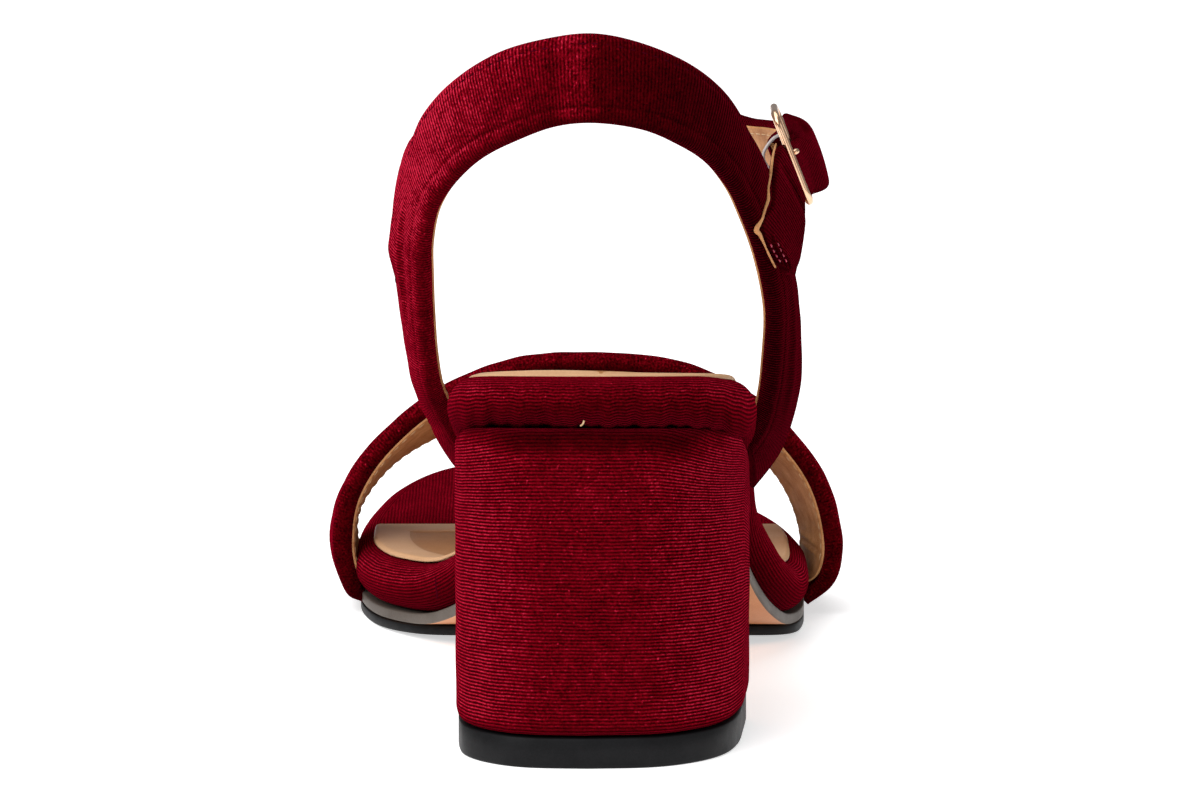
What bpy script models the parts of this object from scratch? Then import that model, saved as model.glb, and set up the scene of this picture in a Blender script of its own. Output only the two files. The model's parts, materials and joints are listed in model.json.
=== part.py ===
# A right-foot sandal on a block heel: padded footbed, covered heel, one toe strap,
# a sling round the ankle with a front strap, and a small wire buckle.
# Metres, +Z up, +Y towards the toes, +X to the outer (little toe) side.
# The origin is the middle of the heel's underside. Below, "along" is the distance
# from the very back of the heel towards the toes.

import math

import bmesh
import bpy
import numpy as np

# Driving sizes
FOOT_LENGTH = 0.2245
SEAT_WIDTH = 0.0546
BALL_WIDTH = 0.0857
FOOTBED_THICKNESS = 0.0090
SOCK_THICKNESS = 0.0009
SOCK_INSET = 0.0036
SOCK_LENGTH = 0.1600
HEEL_HEIGHT = 0.0598
HEEL_WIDTH = 0.0514
HEEL_DEPTH = 0.0440
TOP_PIECE_HEIGHT = 0.0054
TOP_PIECE_INSET = 0.0005
RUBBER_THICKNESS = 0.0018
RUBBER_START = 0.1080
OUTSOLE_THICKNESS = 0.0020
TOE_SPRING = 0.0031
TOE_STRAP_CROWN = 0.0525
TOE_STRAP_THICKNESS = 0.0036
SLING_TOP = 0.1277
SLING_FLARE = 0.0104
SLING_THICKNESS = 0.0030
FRONT_STRAP_THICKNESS = 0.0024
TAB_THICKNESS = 0.0018
BUCKLE_LENGTH = 0.0130
BUCKLE_HEIGHT = 0.0167
BUCKLE_WIRE = 0.0014
BUCKLE_CORNER = 0.0024
BUCKLE_LEAN = math.radians(21.6)
PRONG_WIRE = 0.0013
PRONG_ABOVE_MIDDLE = 0.0009
PRONG_OVERHANG = 0.0013
STRAP_CROWN = 0.0004
SOLE_EDGE = 0.0002
RUBBER_EDGE = 0.0003
TOP_PIECE_EDGE = 0.0004

GAP = 0.0003
HEEL_REST = HEEL_DEPTH / 2
SOLE_STACK = RUBBER_THICKNESS + OUTSOLE_THICKNESS + 2 * GAP
SLING_SPAN = SEAT_WIDTH + 2 * SLING_FLARE
BALL_ALONG = 0.583
SEAT_END = 0.206

# Stations along the foot for each layer
FOOTBED_STATIONS = 44
SOCK_STATIONS = 30
SOLE_STATIONS = 36
RUBBER_STATIONS = 26

# Points inside the toe strap and inside the sling, in the shares of their tables
TOE_CORE = (0.0, 0.67, 0.3)
ANKLE_CORE = (0.0, 0.25, 0.7)

# Middle of the buckle's rear bar, as shares of SLING_SPAN, FOOT_LENGTH and SLING_TOP
BUCKLE_MIDDLE = (0.444, 0.166, 0.800)

# Folded lower and upper edges of the heel's cover: inset, then distance from the end
HEEL_LOWER_EDGE = ((0.0012, 0.0), (0.0003, 0.0007), (0.0, 0.0018))
HEEL_UPPER_EDGE = ((0.0, 0.0010), (0.0004, 0.0))

# The prong from its point to the rear bar: forward as a share of BUCKLE_LENGTH, then
# outwards as a share of the clearance over the bar
PRONG = (
    # forward, outwards
    (0.48, 1.25),
    (0.36, 1.33),
    (0.18, 1.25),
    (0.00, 1.06),
)
PRONG_END_OUT = 0.80

# Footbed outline seen from above: along as a share of FOOT_LENGTH, then how far the
# inner and the outer edge stand from the middle line, as shares of the width there.
FOOTBED_OUTLINE = (
    # along, inner, outer
    (0.000, 0.000, 0.000),
    (0.012, -0.255, 0.245),
    (0.040, -0.405, 0.398),
    (0.094, -0.492, 0.488),
    (0.200, -0.481, 0.500),
    (0.290, -0.402, 0.467),
    (0.379, -0.330, 0.418),
    (0.441, -0.359, 0.438),
    (0.481, -0.403, 0.449),
    (0.526, -0.457, 0.453),
    (0.570, -0.506, 0.454),
    (0.624, -0.541, 0.454),
    (0.677, -0.548, 0.448),
    (0.766, -0.541, 0.406),
    (0.846, -0.513, 0.327),
    (0.900, -0.478, 0.245),
    (0.949, -0.414, 0.122),
    (0.980, -0.322, -0.010),
    (1.000, -0.163, -0.163),
)

# Outline of the outsole and its rubber, in the same shares.
SOLE_OUTLINE = (
    # along, inner, outer
    (0.020, 0.000, 0.000),
    (0.030, -0.240, 0.230),
    (0.055, -0.345, 0.340),
    (0.100, -0.400, 0.410),
    (0.200, -0.418, 0.440),
    (0.290, -0.358, 0.420),
    (0.379, -0.300, 0.386),
    (0.441, -0.338, 0.404),
    (0.481, -0.382, 0.417),
    (0.526, -0.436, 0.431),
    (0.570, -0.486, 0.441),
    (0.624, -0.524, 0.446),
    (0.677, -0.536, 0.440),
    (0.766, -0.526, 0.395),
    (0.846, -0.497, 0.316),
    (0.898, -0.460, 0.236),
    (0.945, -0.396, 0.115),
    (0.974, -0.310, -0.015),
    (0.992, -0.163, -0.163),
)

# Underside of the footbed: rise as a share of the climb from the ball to the heel
# seat, and spring as a share of TOE_SPRING.
UNDERSIDE = (
    # along, rise, spring
    (0.000, 1.000, 0.0),
    (0.053, 0.966, 0.0),
    (0.107, 0.918, 0.0),
    (0.156, 0.850, 0.0),
    (0.214, 0.762, 0.0),
    (0.267, 0.661, 0.0),
    (0.312, 0.543, 0.0),
    (0.356, 0.405, 0.0),
    (0.379, 0.330, 0.0),
    (0.401, 0.256, 0.0),
    (0.423, 0.184, 0.0),
    (0.445, 0.124, 0.0),
    (0.481, 0.057, 0.0),
    (0.512, 0.024, 0.0),
    (0.557, 0.007, 0.0),
    (0.601, 0.001, 0.0),
    (0.660, 0.000, 0.0),
    (0.760, 0.000, 0.0),
    (0.850, 0.000, 0.15),
    (0.920, 0.000, 0.45),
    (1.000, 0.000, 1.00),
)

# Heel outline from the middle of its back to the corners of its flat front, as
# shares of HEEL_WIDTH and HEEL_DEPTH.
HEEL_OUTLINE = (
    # inner x, inner along, outer x, outer along
    (-0.051, 0.000, -0.051, 0.000),
    (-0.262, 0.025, 0.163, 0.025),
    (-0.399, 0.123, 0.307, 0.111),
    (-0.479, 0.273, 0.418, 0.261),
    (-0.500, 0.477, 0.475, 0.477),
    (-0.498, 0.727, 0.496, 0.727),
    (-0.494, 1.000, 0.512, 1.000),
)

# Toe strap: its rear and its front edge, each as x in shares of BALL_WIDTH, along in
# shares of FOOT_LENGTH and z in shares of TOE_STRAP_CROWN, then its thickness share.
TOE_STRAP = (
    # rear x, along, z, front x, along, z, thickness
    (-0.523, 0.641, 0.050, -0.523, 0.741, 0.050, 0.35),
    (-0.570, 0.630, 0.098, -0.568, 0.736, 0.098, 0.75),
    (-0.592, 0.619, 0.250, -0.592, 0.727, 0.240, 1.00),
    (-0.573, 0.606, 0.468, -0.567, 0.718, 0.395, 1.00),
    (-0.495, 0.592, 0.676, -0.480, 0.714, 0.560, 1.00),
    (-0.356, 0.583, 0.870, -0.342, 0.714, 0.680, 1.00),
    (-0.182, 0.579, 0.984, -0.171, 0.714, 0.755, 1.00),
    (0.000, 0.579, 1.000, -0.012, 0.714, 0.768, 1.00),
    (0.173, 0.579, 0.969, 0.143, 0.714, 0.735, 1.00),
    (0.328, 0.583, 0.850, 0.273, 0.714, 0.660, 1.00),
    (0.440, 0.591, 0.668, 0.388, 0.716, 0.548, 1.00),
    (0.504, 0.601, 0.492, 0.452, 0.722, 0.400, 1.00),
    (0.533, 0.613, 0.275, 0.484, 0.729, 0.230, 1.00),
    (0.516, 0.621, 0.130, 0.474, 0.734, 0.116, 0.80),
    (0.452, 0.630, 0.050, 0.424, 0.739, 0.050, 0.35),
)

# Sling, from its inner end at the waist round the back of the ankle to its outer end:
# x in shares of SLING_SPAN, along in shares of FOOT_LENGTH, z in shares of SLING_TOP.
SLING = (
    # front x, along, z, rear x, along, z, thickness
    (-0.322, 0.284, 0.307, -0.332, 0.205, 0.377, 0.50),
    (-0.385, 0.266, 0.365, -0.370, 0.187, 0.418, 0.90),
    (-0.447, 0.236, 0.458, -0.407, 0.160, 0.473, 1.00),
    (-0.468, 0.212, 0.532, -0.420, 0.145, 0.524, 1.00),
    (-0.484, 0.187, 0.606, -0.424, 0.127, 0.582, 1.00),
    (-0.500, 0.165, 0.676, -0.424, 0.107, 0.645, 1.00),
    (-0.489, 0.145, 0.743, -0.424, 0.093, 0.694, 1.00),
    (-0.459, 0.120, 0.815, -0.406, 0.083, 0.743, 1.00),
    (-0.420, 0.098, 0.877, -0.360, 0.070, 0.784, 1.00),
    (-0.348, 0.075, 0.928, -0.292, 0.055, 0.823, 1.00),
    (-0.246, 0.050, 0.970, -0.200, 0.039, 0.853, 1.00),
    (-0.126, 0.032, 0.993, -0.109, 0.030, 0.873, 1.00),
    (-0.013, 0.027, 1.000, -0.013, 0.027, 0.878, 1.00),
    (0.106, 0.036, 0.984, 0.096, 0.031, 0.869, 1.00),
    (0.213, 0.056, 0.953, 0.180, 0.040, 0.849, 1.00),
    (0.296, 0.082, 0.907, 0.253, 0.058, 0.820, 1.00),
    (0.355, 0.111, 0.842, 0.314, 0.076, 0.778, 1.00),
    (0.398, 0.136, 0.784, 0.352, 0.091, 0.731, 1.00),
    (0.424, 0.156, 0.727, 0.384, 0.107, 0.680, 1.00),
    (0.448, 0.178, 0.661, 0.406, 0.122, 0.626, 1.00),
    (0.465, 0.196, 0.598, 0.414, 0.138, 0.579, 1.00),
    (0.475, 0.219, 0.525, 0.409, 0.156, 0.524, 1.00),
    (0.473, 0.241, 0.453, 0.400, 0.174, 0.468, 1.00),
    (0.434, 0.268, 0.362, 0.382, 0.191, 0.414, 0.90),
    (0.362, 0.286, 0.297, 0.352, 0.205, 0.379, 0.50),
)

# Front strap, from the sling's inner side round the front of the ankle to the
# buckle's front bar, in the sling's shares.
FRONT_STRAP = (
    # top x, along, z, bottom x, along, z, thickness
    (-0.452, 0.137, 0.780, -0.462, 0.152, 0.682, 0.80),
    (-0.468, 0.187, 0.793, -0.492, 0.196, 0.692, 1.00),
    (-0.441, 0.258, 0.816, -0.466, 0.267, 0.722, 1.00),
    (-0.355, 0.330, 0.844, -0.378, 0.346, 0.760, 1.00),
    (-0.199, 0.377, 0.866, -0.212, 0.396, 0.784, 1.00),
    (0.000, 0.390, 0.874, 0.000, 0.410, 0.796, 1.00),
    (0.186, 0.377, 0.856, 0.199, 0.396, 0.779, 1.00),
    (0.333, 0.337, 0.822, 0.356, 0.351, 0.751, 1.00),
    (0.420, 0.289, 0.823, 0.446, 0.298, 0.743, 1.00),
    (0.443, 0.254, 0.826, 0.478, 0.254, 0.742, 1.00),
    (0.428, 0.226, 0.822, 0.481, 0.226, 0.738, 1.60),
    (0.424, 0.218, 0.820, 0.479, 0.218, 0.738, 1.20),
)

# Tab sewn on the sling's outer side; it runs under the buckle's rear bar, out
# through the frame, and ends as a tail on the front strap.
TAB = (
    # lower x, along, z, upper x, along, z, thickness
    (0.438, 0.148, 0.640, 0.364, 0.098, 0.713, 0.80),
    (0.459, 0.166, 0.660, 0.386, 0.118, 0.747, 1.00),
    (0.470, 0.169, 0.702, 0.406, 0.141, 0.786, 1.00),
    (0.4710, 0.168, 0.738, 0.4180, 0.166, 0.812, 1.00),
    (0.490, 0.193, 0.740, 0.446, 0.193, 0.816, 1.00),
    (0.528, 0.224, 0.742, 0.484, 0.224, 0.820, 1.00),
    (0.508, 0.262, 0.751, 0.472, 0.262, 0.829, 1.00),
    (0.462, 0.312, 0.765, 0.431, 0.312, 0.827, 0.80),
)


def clear_scene():
    for thing in list(bpy.data.objects):
        bpy.data.objects.remove(thing, do_unlink=True)


def finish(name, colour, roughness, metallic=0.0):
    """A plain surface finish for one piece."""
    made = bpy.data.materials.new(name)
    made.use_nodes = True
    shader = made.node_tree.nodes["Principled BSDF"]
    shader.inputs["Base Color"].default_value = (*colour, 1.0)
    shader.inputs["Roughness"].default_value = roughness
    shader.inputs["Metallic"].default_value = metallic
    return made


def add_piece(name, points, faces, material, smooth=True):
    """One closed object from points (along measured from the heel's back) and faces."""
    mesh = bpy.data.meshes.new(name)
    placed = np.array(points, dtype=float)
    placed[:, 1] -= HEEL_REST
    mesh.from_pydata(placed.tolist(), [], faces)
    shell = bmesh.new()
    shell.from_mesh(mesh)
    bmesh.ops.recalc_face_normals(shell, faces=shell.faces)
    shell.to_mesh(mesh)
    shell.free()
    if smooth:
        mesh.shade_smooth()
        mesh.set_sharp_from_angle(angle=math.radians(40))
    mesh.materials.append(material)
    piece = bpy.data.objects.new(name, mesh)
    bpy.context.scene.collection.objects.link(piece)
    return piece


def spline(rows, per_span):
    """Points on a smooth curve through the rows, per_span steps between two rows."""
    rows = np.array(rows, dtype=float)
    before = np.vstack([2 * rows[0] - rows[1], rows[:-1]])[: len(rows) - 1]
    start = rows[:-1]
    stop = rows[1:]
    after = np.vstack([rows[2:], 2 * rows[-1] - rows[-2]])
    out = []
    for step in np.arange(per_span) / per_span:
        cubic = (
            2 * start
            + (stop - before) * step
            + (2 * before - 5 * start + 4 * stop - after) * step**2
            + (3 * start - before - 3 * stop + after) * step**3
        )
        out.append(cubic / 2)
    smooth = np.stack(out, axis=1).reshape(-1, rows.shape[1])
    return np.vstack([smooth, rows[-1]])


def width_at(along):
    """Width that the outline's shares refer to: the seat's, growing to the ball's."""
    part = np.clip((along / FOOT_LENGTH - SEAT_END) / (BALL_ALONG - SEAT_END), 0, 1)
    part = part * part * (3 - 2 * part)
    return SEAT_WIDTH + (BALL_WIDTH - SEAT_WIDTH) * part


def outline_sides(outline):
    """Both edges of an outline table, back to tip, as (x, along)."""
    inner = []
    outer = []
    for along, inner_share, outer_share in outline:
        distance = along * FOOT_LENGTH
        inner.append((inner_share * width_at(distance), distance))
        outer.append((outer_share * width_at(distance), distance))
    loop = inner + outer[-2:0:-1]
    turned = loop[-2:] + loop + loop[:3]
    round_loop = spline(turned, 6)[12:-12]
    half = (len(inner) - 1) * 6
    return round_loop[: half + 1], round_loop[half:][::-1]


def inset_sides(outline, inset):
    """Both edges moved inwards by inset, still back to tip."""
    inner, outer = outline_sides(outline)
    loop = np.vstack([inner, outer[-2:0:-1]])
    ahead = np.roll(loop, -1, axis=0) - np.roll(loop, 1, axis=0)
    normal = np.stack([ahead[:, 1], -ahead[:, 0]], axis=1)
    normal /= np.linalg.norm(normal, axis=1, keepdims=True)
    moved = loop + normal * inset
    tip = len(inner) - 1
    return moved[: tip + 1], np.vstack([moved[tip:], moved[:1]])[::-1]


def underside(along):
    """Height of the footbed's underside."""
    table = np.array(UNDERSIDE)
    table[:, 1] = SOLE_STACK + table[:, 1] * (HEEL_HEIGHT + GAP - SOLE_STACK)
    smooth = spline(table, 6)
    heights = np.maximum(smooth[:, 1] + smooth[:, 2] * TOE_SPRING, SOLE_STACK)
    return np.interp(along / FOOT_LENGTH, smooth[:, 0], heights)


def thickness_upright(along, thickness):
    """Upright measure of a layer whose thickness is square to the footbed's slope."""
    reach = 0.002
    slope = (underside(along + reach) - underside(along - reach)) / (2 * reach)
    return thickness * np.sqrt(1 + slope**2)


def rows_between(outline, inset, begin, end, count):
    """Paired points of both inset edges between two distances along the foot."""
    inner, outer = inset_sides(outline, inset)
    back = max(inner[0, 1], begin)
    tip = min(inner[-1, 1], end)
    turn = np.linspace(0, math.pi, count)
    along = back + (tip - back) * (1 - np.cos(turn)) / 2
    left = np.stack([np.interp(along, inner[:, 1], inner[:, 0]), along], axis=1)
    right = np.stack([np.interp(along, outer[:, 1], outer[:, 0]), along], axis=1)
    return left, right


def shell_from_rings(rings, pairs):
    """Side walls between rings of equal count, capped by strips from pair to pair."""
    count = len(rings[0])
    points = np.vstack(rings)
    faces = []
    for level in range(len(rings) - 1):
        for spot in range(count):
            ahead = (spot + 1) % count
            base = level * count
            faces.append((base + spot, base + ahead, base + count + ahead, base + count + spot))
    for base in (0, (len(rings) - 1) * count):
        for (left, right), (left_next, right_next) in zip(pairs[:-1], pairs[1:]):
            corners = [base + left, base + left_next, base + right_next, base + right]
            faces.append(tuple(dict.fromkeys(corners)))
    return points, faces


def layer(outline, levels, begin, end, count):
    """A layer along the foot. levels gives, bottom to top, an inset and a height rule."""
    rings = []
    inner, outer = inset_sides(outline, 0)
    round_back = begin <= inner[0, 1]
    round_tip = end >= inner[-1, 1]
    for inset, height in levels:
        left, right = rows_between(outline, inset, begin, end, count)
        low = 1 if round_back else 0
        high = count - 1 if round_tip else count
        ring = np.vstack([left, right[low:high][::-1]])
        rings.append(np.column_stack([ring, height(ring[:, 1])]))
    total = len(rings[0])
    pairs = []
    for row in range(count):
        mate = total - 1 - (row - low)
        if row < low or row >= high:
            mate = row
        pairs.append((row, mate))
    return shell_from_rings(rings, pairs)


def footbed_levels(clearance):
    """The footbed's full-round edge, from underside to top, grown by clearance."""
    levels = []
    half = FOOTBED_THICKNESS / 2
    for degrees in (-90, -65, -40, -15, 15, 40, 65, 90):
        turn = math.radians(degrees)
        inset = half - (half + clearance) * math.cos(turn)
        lift = (half + clearance) * math.sin(turn) + half

        def height(along, lift=lift):
            return underside(along) + thickness_upright(along, lift)

        levels.append((inset, height))
    return levels


def sole_levels(top_drop, thickness, edge, clearance=0.0):
    """A sole layer under the footbed, with a small rounded lower edge."""

    def lowest(along):
        return underside(along) - thickness_upright(along, top_drop + thickness + clearance)

    def low(along):
        return underside(along) - thickness_upright(along, top_drop + thickness - edge)

    def top(along):
        return underside(along) - thickness_upright(along, top_drop - clearance)

    return [(edge - clearance, lowest), (-clearance, low), (-clearance, top)]


def sock_levels():
    """The thin padded sock on top of the footbed."""
    rest = FOOTBED_THICKNESS + GAP
    levels = []
    for share, inset in ((0.0, 0.0), (0.6, 0.0001), (0.9, 0.0006), (1.0, 0.0016)):
        lift = rest + SOCK_THICKNESS * share

        def height(along, lift=lift):
            return underside(along) + thickness_upright(along, lift)

        levels.append((SOCK_INSET + inset, height))
    return levels


def heel_ring(inset):
    """The heel's outline moved inwards, as inner and outer points, back to front."""
    table = spline(HEEL_OUTLINE, 4)
    inner = table[:, 0:2] * (HEEL_WIDTH, HEEL_DEPTH)
    outer = table[:, 2:4] * (HEEL_WIDTH, HEEL_DEPTH)
    loop = np.vstack([inner, outer[:0:-1]])
    ahead = np.roll(loop, -1, axis=0) - np.roll(loop, 1, axis=0)
    front = len(inner) - 1
    ahead[front] = inner[-1] - inner[-2]
    ahead[front + 1] = outer[-2] - outer[-1]
    normal = np.stack([ahead[:, 1], -ahead[:, 0]], axis=1)
    normal /= np.linalg.norm(normal, axis=1, keepdims=True)
    moved = loop + normal * inset
    moved[front, 1] = moved[front + 1, 1] = HEEL_DEPTH - inset
    return moved


def heel_pairs():
    rows = (len(HEEL_OUTLINE) - 1) * 4 + 1
    total = 2 * rows - 1
    return [(row, (total - row) % total) for row in range(rows)]


def heel_shell(levels):
    """A block on the heel's outline; levels gives an inset and a height rule."""
    rings = []
    for inset, height in levels:
        ring = heel_ring(inset)
        rings.append(np.column_stack([ring, height(ring[:, 1])]))
    return shell_from_rings(rings, heel_pairs())


def flat(height):
    return lambda along: np.full_like(along, height)


def band_section(width, thickness, crown):
    """Half-round edged section of a strap: across, and inwards from the outer face."""
    radius = thickness / 2
    across = []
    inwards = []
    for side in (1, -1):
        for degrees in (-90, -45, 0, 45, 90):
            turn = math.radians(degrees)
            across.append(side * (width / 2 - radius + radius * math.cos(turn)))
            inwards.append(radius + side * radius * math.sin(turn))
        for share in (1 / 3, -1 / 3):
            across.append(side * share * (width / 2 - radius))
            inwards.append(radius + side * radius)
    across = np.array(across)
    inwards = np.array(inwards)
    swell = crown * (1 - (2 * across / width) ** 2)
    return across, np.where(inwards > radius, inwards, inwards - swell)


def band(table, sizes, thickness, core, per_span=3):
    """A strap swept along its table; core is a point on its inner side."""
    rows = spline(table, per_span)
    first = rows[:, 0:3] * sizes
    second = rows[:, 3:6] * sizes
    middle = (first + second) / 2
    ahead = np.gradient(middle, axis=0)
    rings = []
    for spot in range(len(rows)):
        across = first[spot] - second[spot]
        width = np.linalg.norm(across)
        across /= width
        inward = np.cross(ahead[spot], across)
        inward /= np.linalg.norm(inward)
        if np.dot(inward, core - middle[spot]) < 0:
            inward = -inward
        along_width, depth = band_section(width, thickness * rows[spot, 6], STRAP_CROWN)
        ring = middle[spot] + np.outer(along_width, across) + np.outer(depth, inward)
        rings.append(ring)
    points = np.vstack(rings)
    count = len(rings[0])
    faces = []
    for level in range(len(rings) - 1):
        base = level * count
        for spot in range(count):
            ahead_spot = (spot + 1) % count
            faces.append((base + spot, base + ahead_spot, base + count + ahead_spot, base + count + spot))
    faces.append(tuple(range(count)))
    faces.append(tuple(range(len(points) - count, len(points))))
    return points, faces


def tube(path, radius, sides, closed):
    """A round wire along a path of points."""
    path = np.array(path, dtype=float)
    ahead = np.roll(path, -1, axis=0) - np.roll(path, 1, axis=0)
    if not closed:
        ahead = np.gradient(path, axis=0)
    rings = []
    side = None
    for spot in range(len(path)):
        way = ahead[spot] / np.linalg.norm(ahead[spot])
        if side is None:
            side = np.cross(way, (0.3, 0.2, 0.93))
        side = side - way * np.dot(side, way)
        side /= np.linalg.norm(side)
        up = np.cross(way, side)
        turn = np.linspace(0, 2 * math.pi, sides, endpoint=False)
        rings.append(path[spot] + radius * (np.outer(np.cos(turn), side) + np.outer(np.sin(turn), up)))
    points = np.vstack(rings)
    faces = []
    spans = len(path) if closed else len(path) - 1
    for level in range(spans):
        base = level * sides
        above = ((level + 1) % len(path)) * sides
        for spot in range(sides):
            ahead_spot = (spot + 1) % sides
            faces.append((base + spot, base + ahead_spot, above + ahead_spot, above + spot))
    if not closed:
        faces.append(tuple(range(sides)))
        faces.append(tuple(range(len(points) - sides, len(points))))
    return points, faces


def hide(cutter):
    cutter.hide_render = True
    cutter.display_type = "WIRE"


def combine(piece, other, operation):
    """Add or take away another object with an exact Boolean."""
    change = piece.modifiers.new(other.name, "BOOLEAN")
    change.operation = operation
    change.solver = "EXACT"
    change.object = other
    hide(other)


def buckle_middle():
    """Middle of the buckle's rear bar."""
    return np.array(BUCKLE_MIDDLE) * (SLING_SPAN, FOOT_LENGTH, SLING_TOP)


def buckle_point(forward, down, outwards=0.0):
    """A point measured in the buckle's plane, which stands along the foot and leans."""
    lean = np.array((math.sin(BUCKLE_LEAN), 0.0, -math.cos(BUCKLE_LEAN)))
    out = np.array((math.cos(BUCKLE_LEAN), 0.0, math.sin(BUCKLE_LEAN)))
    return buckle_middle() + np.array((0.0, forward, 0.0)) + lean * down + out * outwards


def buckle_path():
    """Middle line of the frame: a rectangle with round corners."""
    points = []
    half = BUCKLE_HEIGHT / 2
    corners = (
        (BUCKLE_LENGTH, half, 0),
        (0.0, half, 90),
        (0.0, -half, 180),
        (BUCKLE_LENGTH, -half, 270),
    )
    for forward, down, begin in corners:
        centre_forward = forward + (BUCKLE_CORNER if forward == 0 else -BUCKLE_CORNER)
        centre_down = down - math.copysign(BUCKLE_CORNER, down)
        for degrees in (0, 30, 60, 90):
            turn = math.radians(begin + degrees)
            points.append(buckle_point(
                centre_forward + BUCKLE_CORNER * math.cos(turn),
                centre_down + BUCKLE_CORNER * math.sin(turn),
            ))
    return points


def prong_path():
    """From the hole in the tab out over the rear bar, with its tip turned in."""
    over_bar = BUCKLE_WIRE / 2 + GAP + PRONG_WIRE / 2
    stations = [(BUCKLE_LENGTH * forward, over_bar * out) for forward, out in PRONG]
    stations.append((-PRONG_OVERHANG, over_bar * PRONG_END_OUT))
    return [buckle_point(forward, -PRONG_ABOVE_MIDDLE, out) for forward, out in stations]


def main():
    clear_scene()
    velvet = finish("velvet", (0.20, 0.008, 0.03), 0.8)
    sock_cloth = finish("sock_leather", (0.55, 0.36, 0.25), 0.6)
    tan = finish("tan_sole", (0.50, 0.25, 0.12), 0.5)
    rubber = finish("black_rubber", (0.01, 0.01, 0.012), 0.4)
    gold = finish("rose_gold", (0.80, 0.50, 0.33), 0.2, 1.0)

    build_sole(velvet, sock_cloth, tan, rubber)
    build_heel(velvet, rubber)
    build_straps(velvet)
    build_buckle(gold)


def build_sole(velvet, sock_cloth, tan, rubber):
    points, faces = layer(FOOTBED_OUTLINE, footbed_levels(0.0), 0.0, FOOT_LENGTH, FOOTBED_STATIONS)
    add_piece("footbed", points, faces, velvet)
    points, faces = layer(FOOTBED_OUTLINE, sock_levels(), 0.0, SOCK_LENGTH, SOCK_STATIONS)
    add_piece("insole_sock", points, faces, sock_cloth)
    outsole_start = HEEL_DEPTH + GAP
    levels = sole_levels(GAP, OUTSOLE_THICKNESS, SOLE_EDGE)
    points, faces = layer(SOLE_OUTLINE, levels, outsole_start, FOOT_LENGTH, SOLE_STATIONS)
    add_piece("outsole", points, faces, tan)
    levels = sole_levels(2 * GAP + OUTSOLE_THICKNESS, RUBBER_THICKNESS, RUBBER_EDGE)
    points, faces = layer(SOLE_OUTLINE, levels, RUBBER_START, FOOT_LENGTH, RUBBER_STATIONS)
    add_piece("forepart_rubber", points, faces, rubber)


def build_heel(velvet, rubber):
    foot = TOP_PIECE_HEIGHT + GAP

    def seat(along):
        return underside(along) - GAP

    levels = [(inset, flat(foot + height)) for inset, height in HEEL_LOWER_EDGE]
    levels.append((0.0, lambda along: (foot + seat(along)) / 2))
    for inset, drop in HEEL_UPPER_EDGE:
        levels.append((inset, lambda along, drop=drop: seat(along) - drop))
    points, faces = heel_shell(levels)
    add_piece("heel_block", points, faces, velvet)
    levels = [
        (TOP_PIECE_INSET + TOP_PIECE_EDGE, flat(0.0)),
        (TOP_PIECE_INSET, flat(TOP_PIECE_EDGE)),
        (TOP_PIECE_INSET, flat(TOP_PIECE_HEIGHT)),
    ]
    points, faces = heel_shell(levels)
    add_piece("heel_top_piece", points, faces, rubber)


def build_straps(velvet):
    points, faces = layer(FOOTBED_OUTLINE, footbed_levels(GAP), -GAP, FOOT_LENGTH + GAP, FOOTBED_STATIONS)
    footbed_room = add_piece("footbed_room", points, faces, velvet)
    levels = sole_levels(GAP, OUTSOLE_THICKNESS, SOLE_EDGE, GAP)
    points, faces = layer(SOLE_OUTLINE, levels, HEEL_DEPTH, FOOT_LENGTH, SOLE_STATIONS)
    outsole_room = add_piece("outsole_room", points, faces, velvet)

    sizes = np.array((BALL_WIDTH, FOOT_LENGTH, TOE_STRAP_CROWN))
    core = sizes * TOE_CORE
    points, faces = band(TOE_STRAP, sizes, TOE_STRAP_THICKNESS, core)
    toe_strap = add_piece("toe_strap", points, faces, velvet)
    combine(toe_strap, footbed_room, "DIFFERENCE")
    combine(toe_strap, outsole_room, "DIFFERENCE")

    sizes = np.array((SLING_SPAN, FOOT_LENGTH, SLING_TOP))
    core = sizes * ANKLE_CORE
    points, faces = band(SLING, sizes, SLING_THICKNESS, core)
    ankle_strap = add_piece("ankle_strap", points, faces, velvet)
    points, faces = band(FRONT_STRAP, sizes, FRONT_STRAP_THICKNESS, core)
    combine(ankle_strap, add_piece("front_strap", points, faces, velvet), "UNION")
    points, faces = band(TAB, sizes, TAB_THICKNESS, core)
    combine(ankle_strap, add_piece("tab", points, faces, velvet), "UNION")
    combine(ankle_strap, footbed_room, "DIFFERENCE")
    combine(ankle_strap, outsole_room, "DIFFERENCE")
    points, faces = tube(buckle_path(), BUCKLE_WIRE / 2 + GAP, 10, True)
    combine(ankle_strap, add_piece("buckle_room", points, faces, velvet), "DIFFERENCE")


def build_buckle(gold):
    points, faces = tube(buckle_path(), BUCKLE_WIRE / 2, 10, True)
    add_piece("buckle_frame", points, faces, gold)
    points, faces = tube(prong_path(), PRONG_WIRE / 2, 10, False)
    add_piece("buckle_prong", points, faces, gold)


main()
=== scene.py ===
# Looks for a right-foot sandal in ribbed velvet on a block heel.
# Metres, +Z up, +Y towards the toes, +X to the outer side. "along" is measured
# from the very back of the heel; y = along - shoe["heelRest"].
import json
import math

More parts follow.
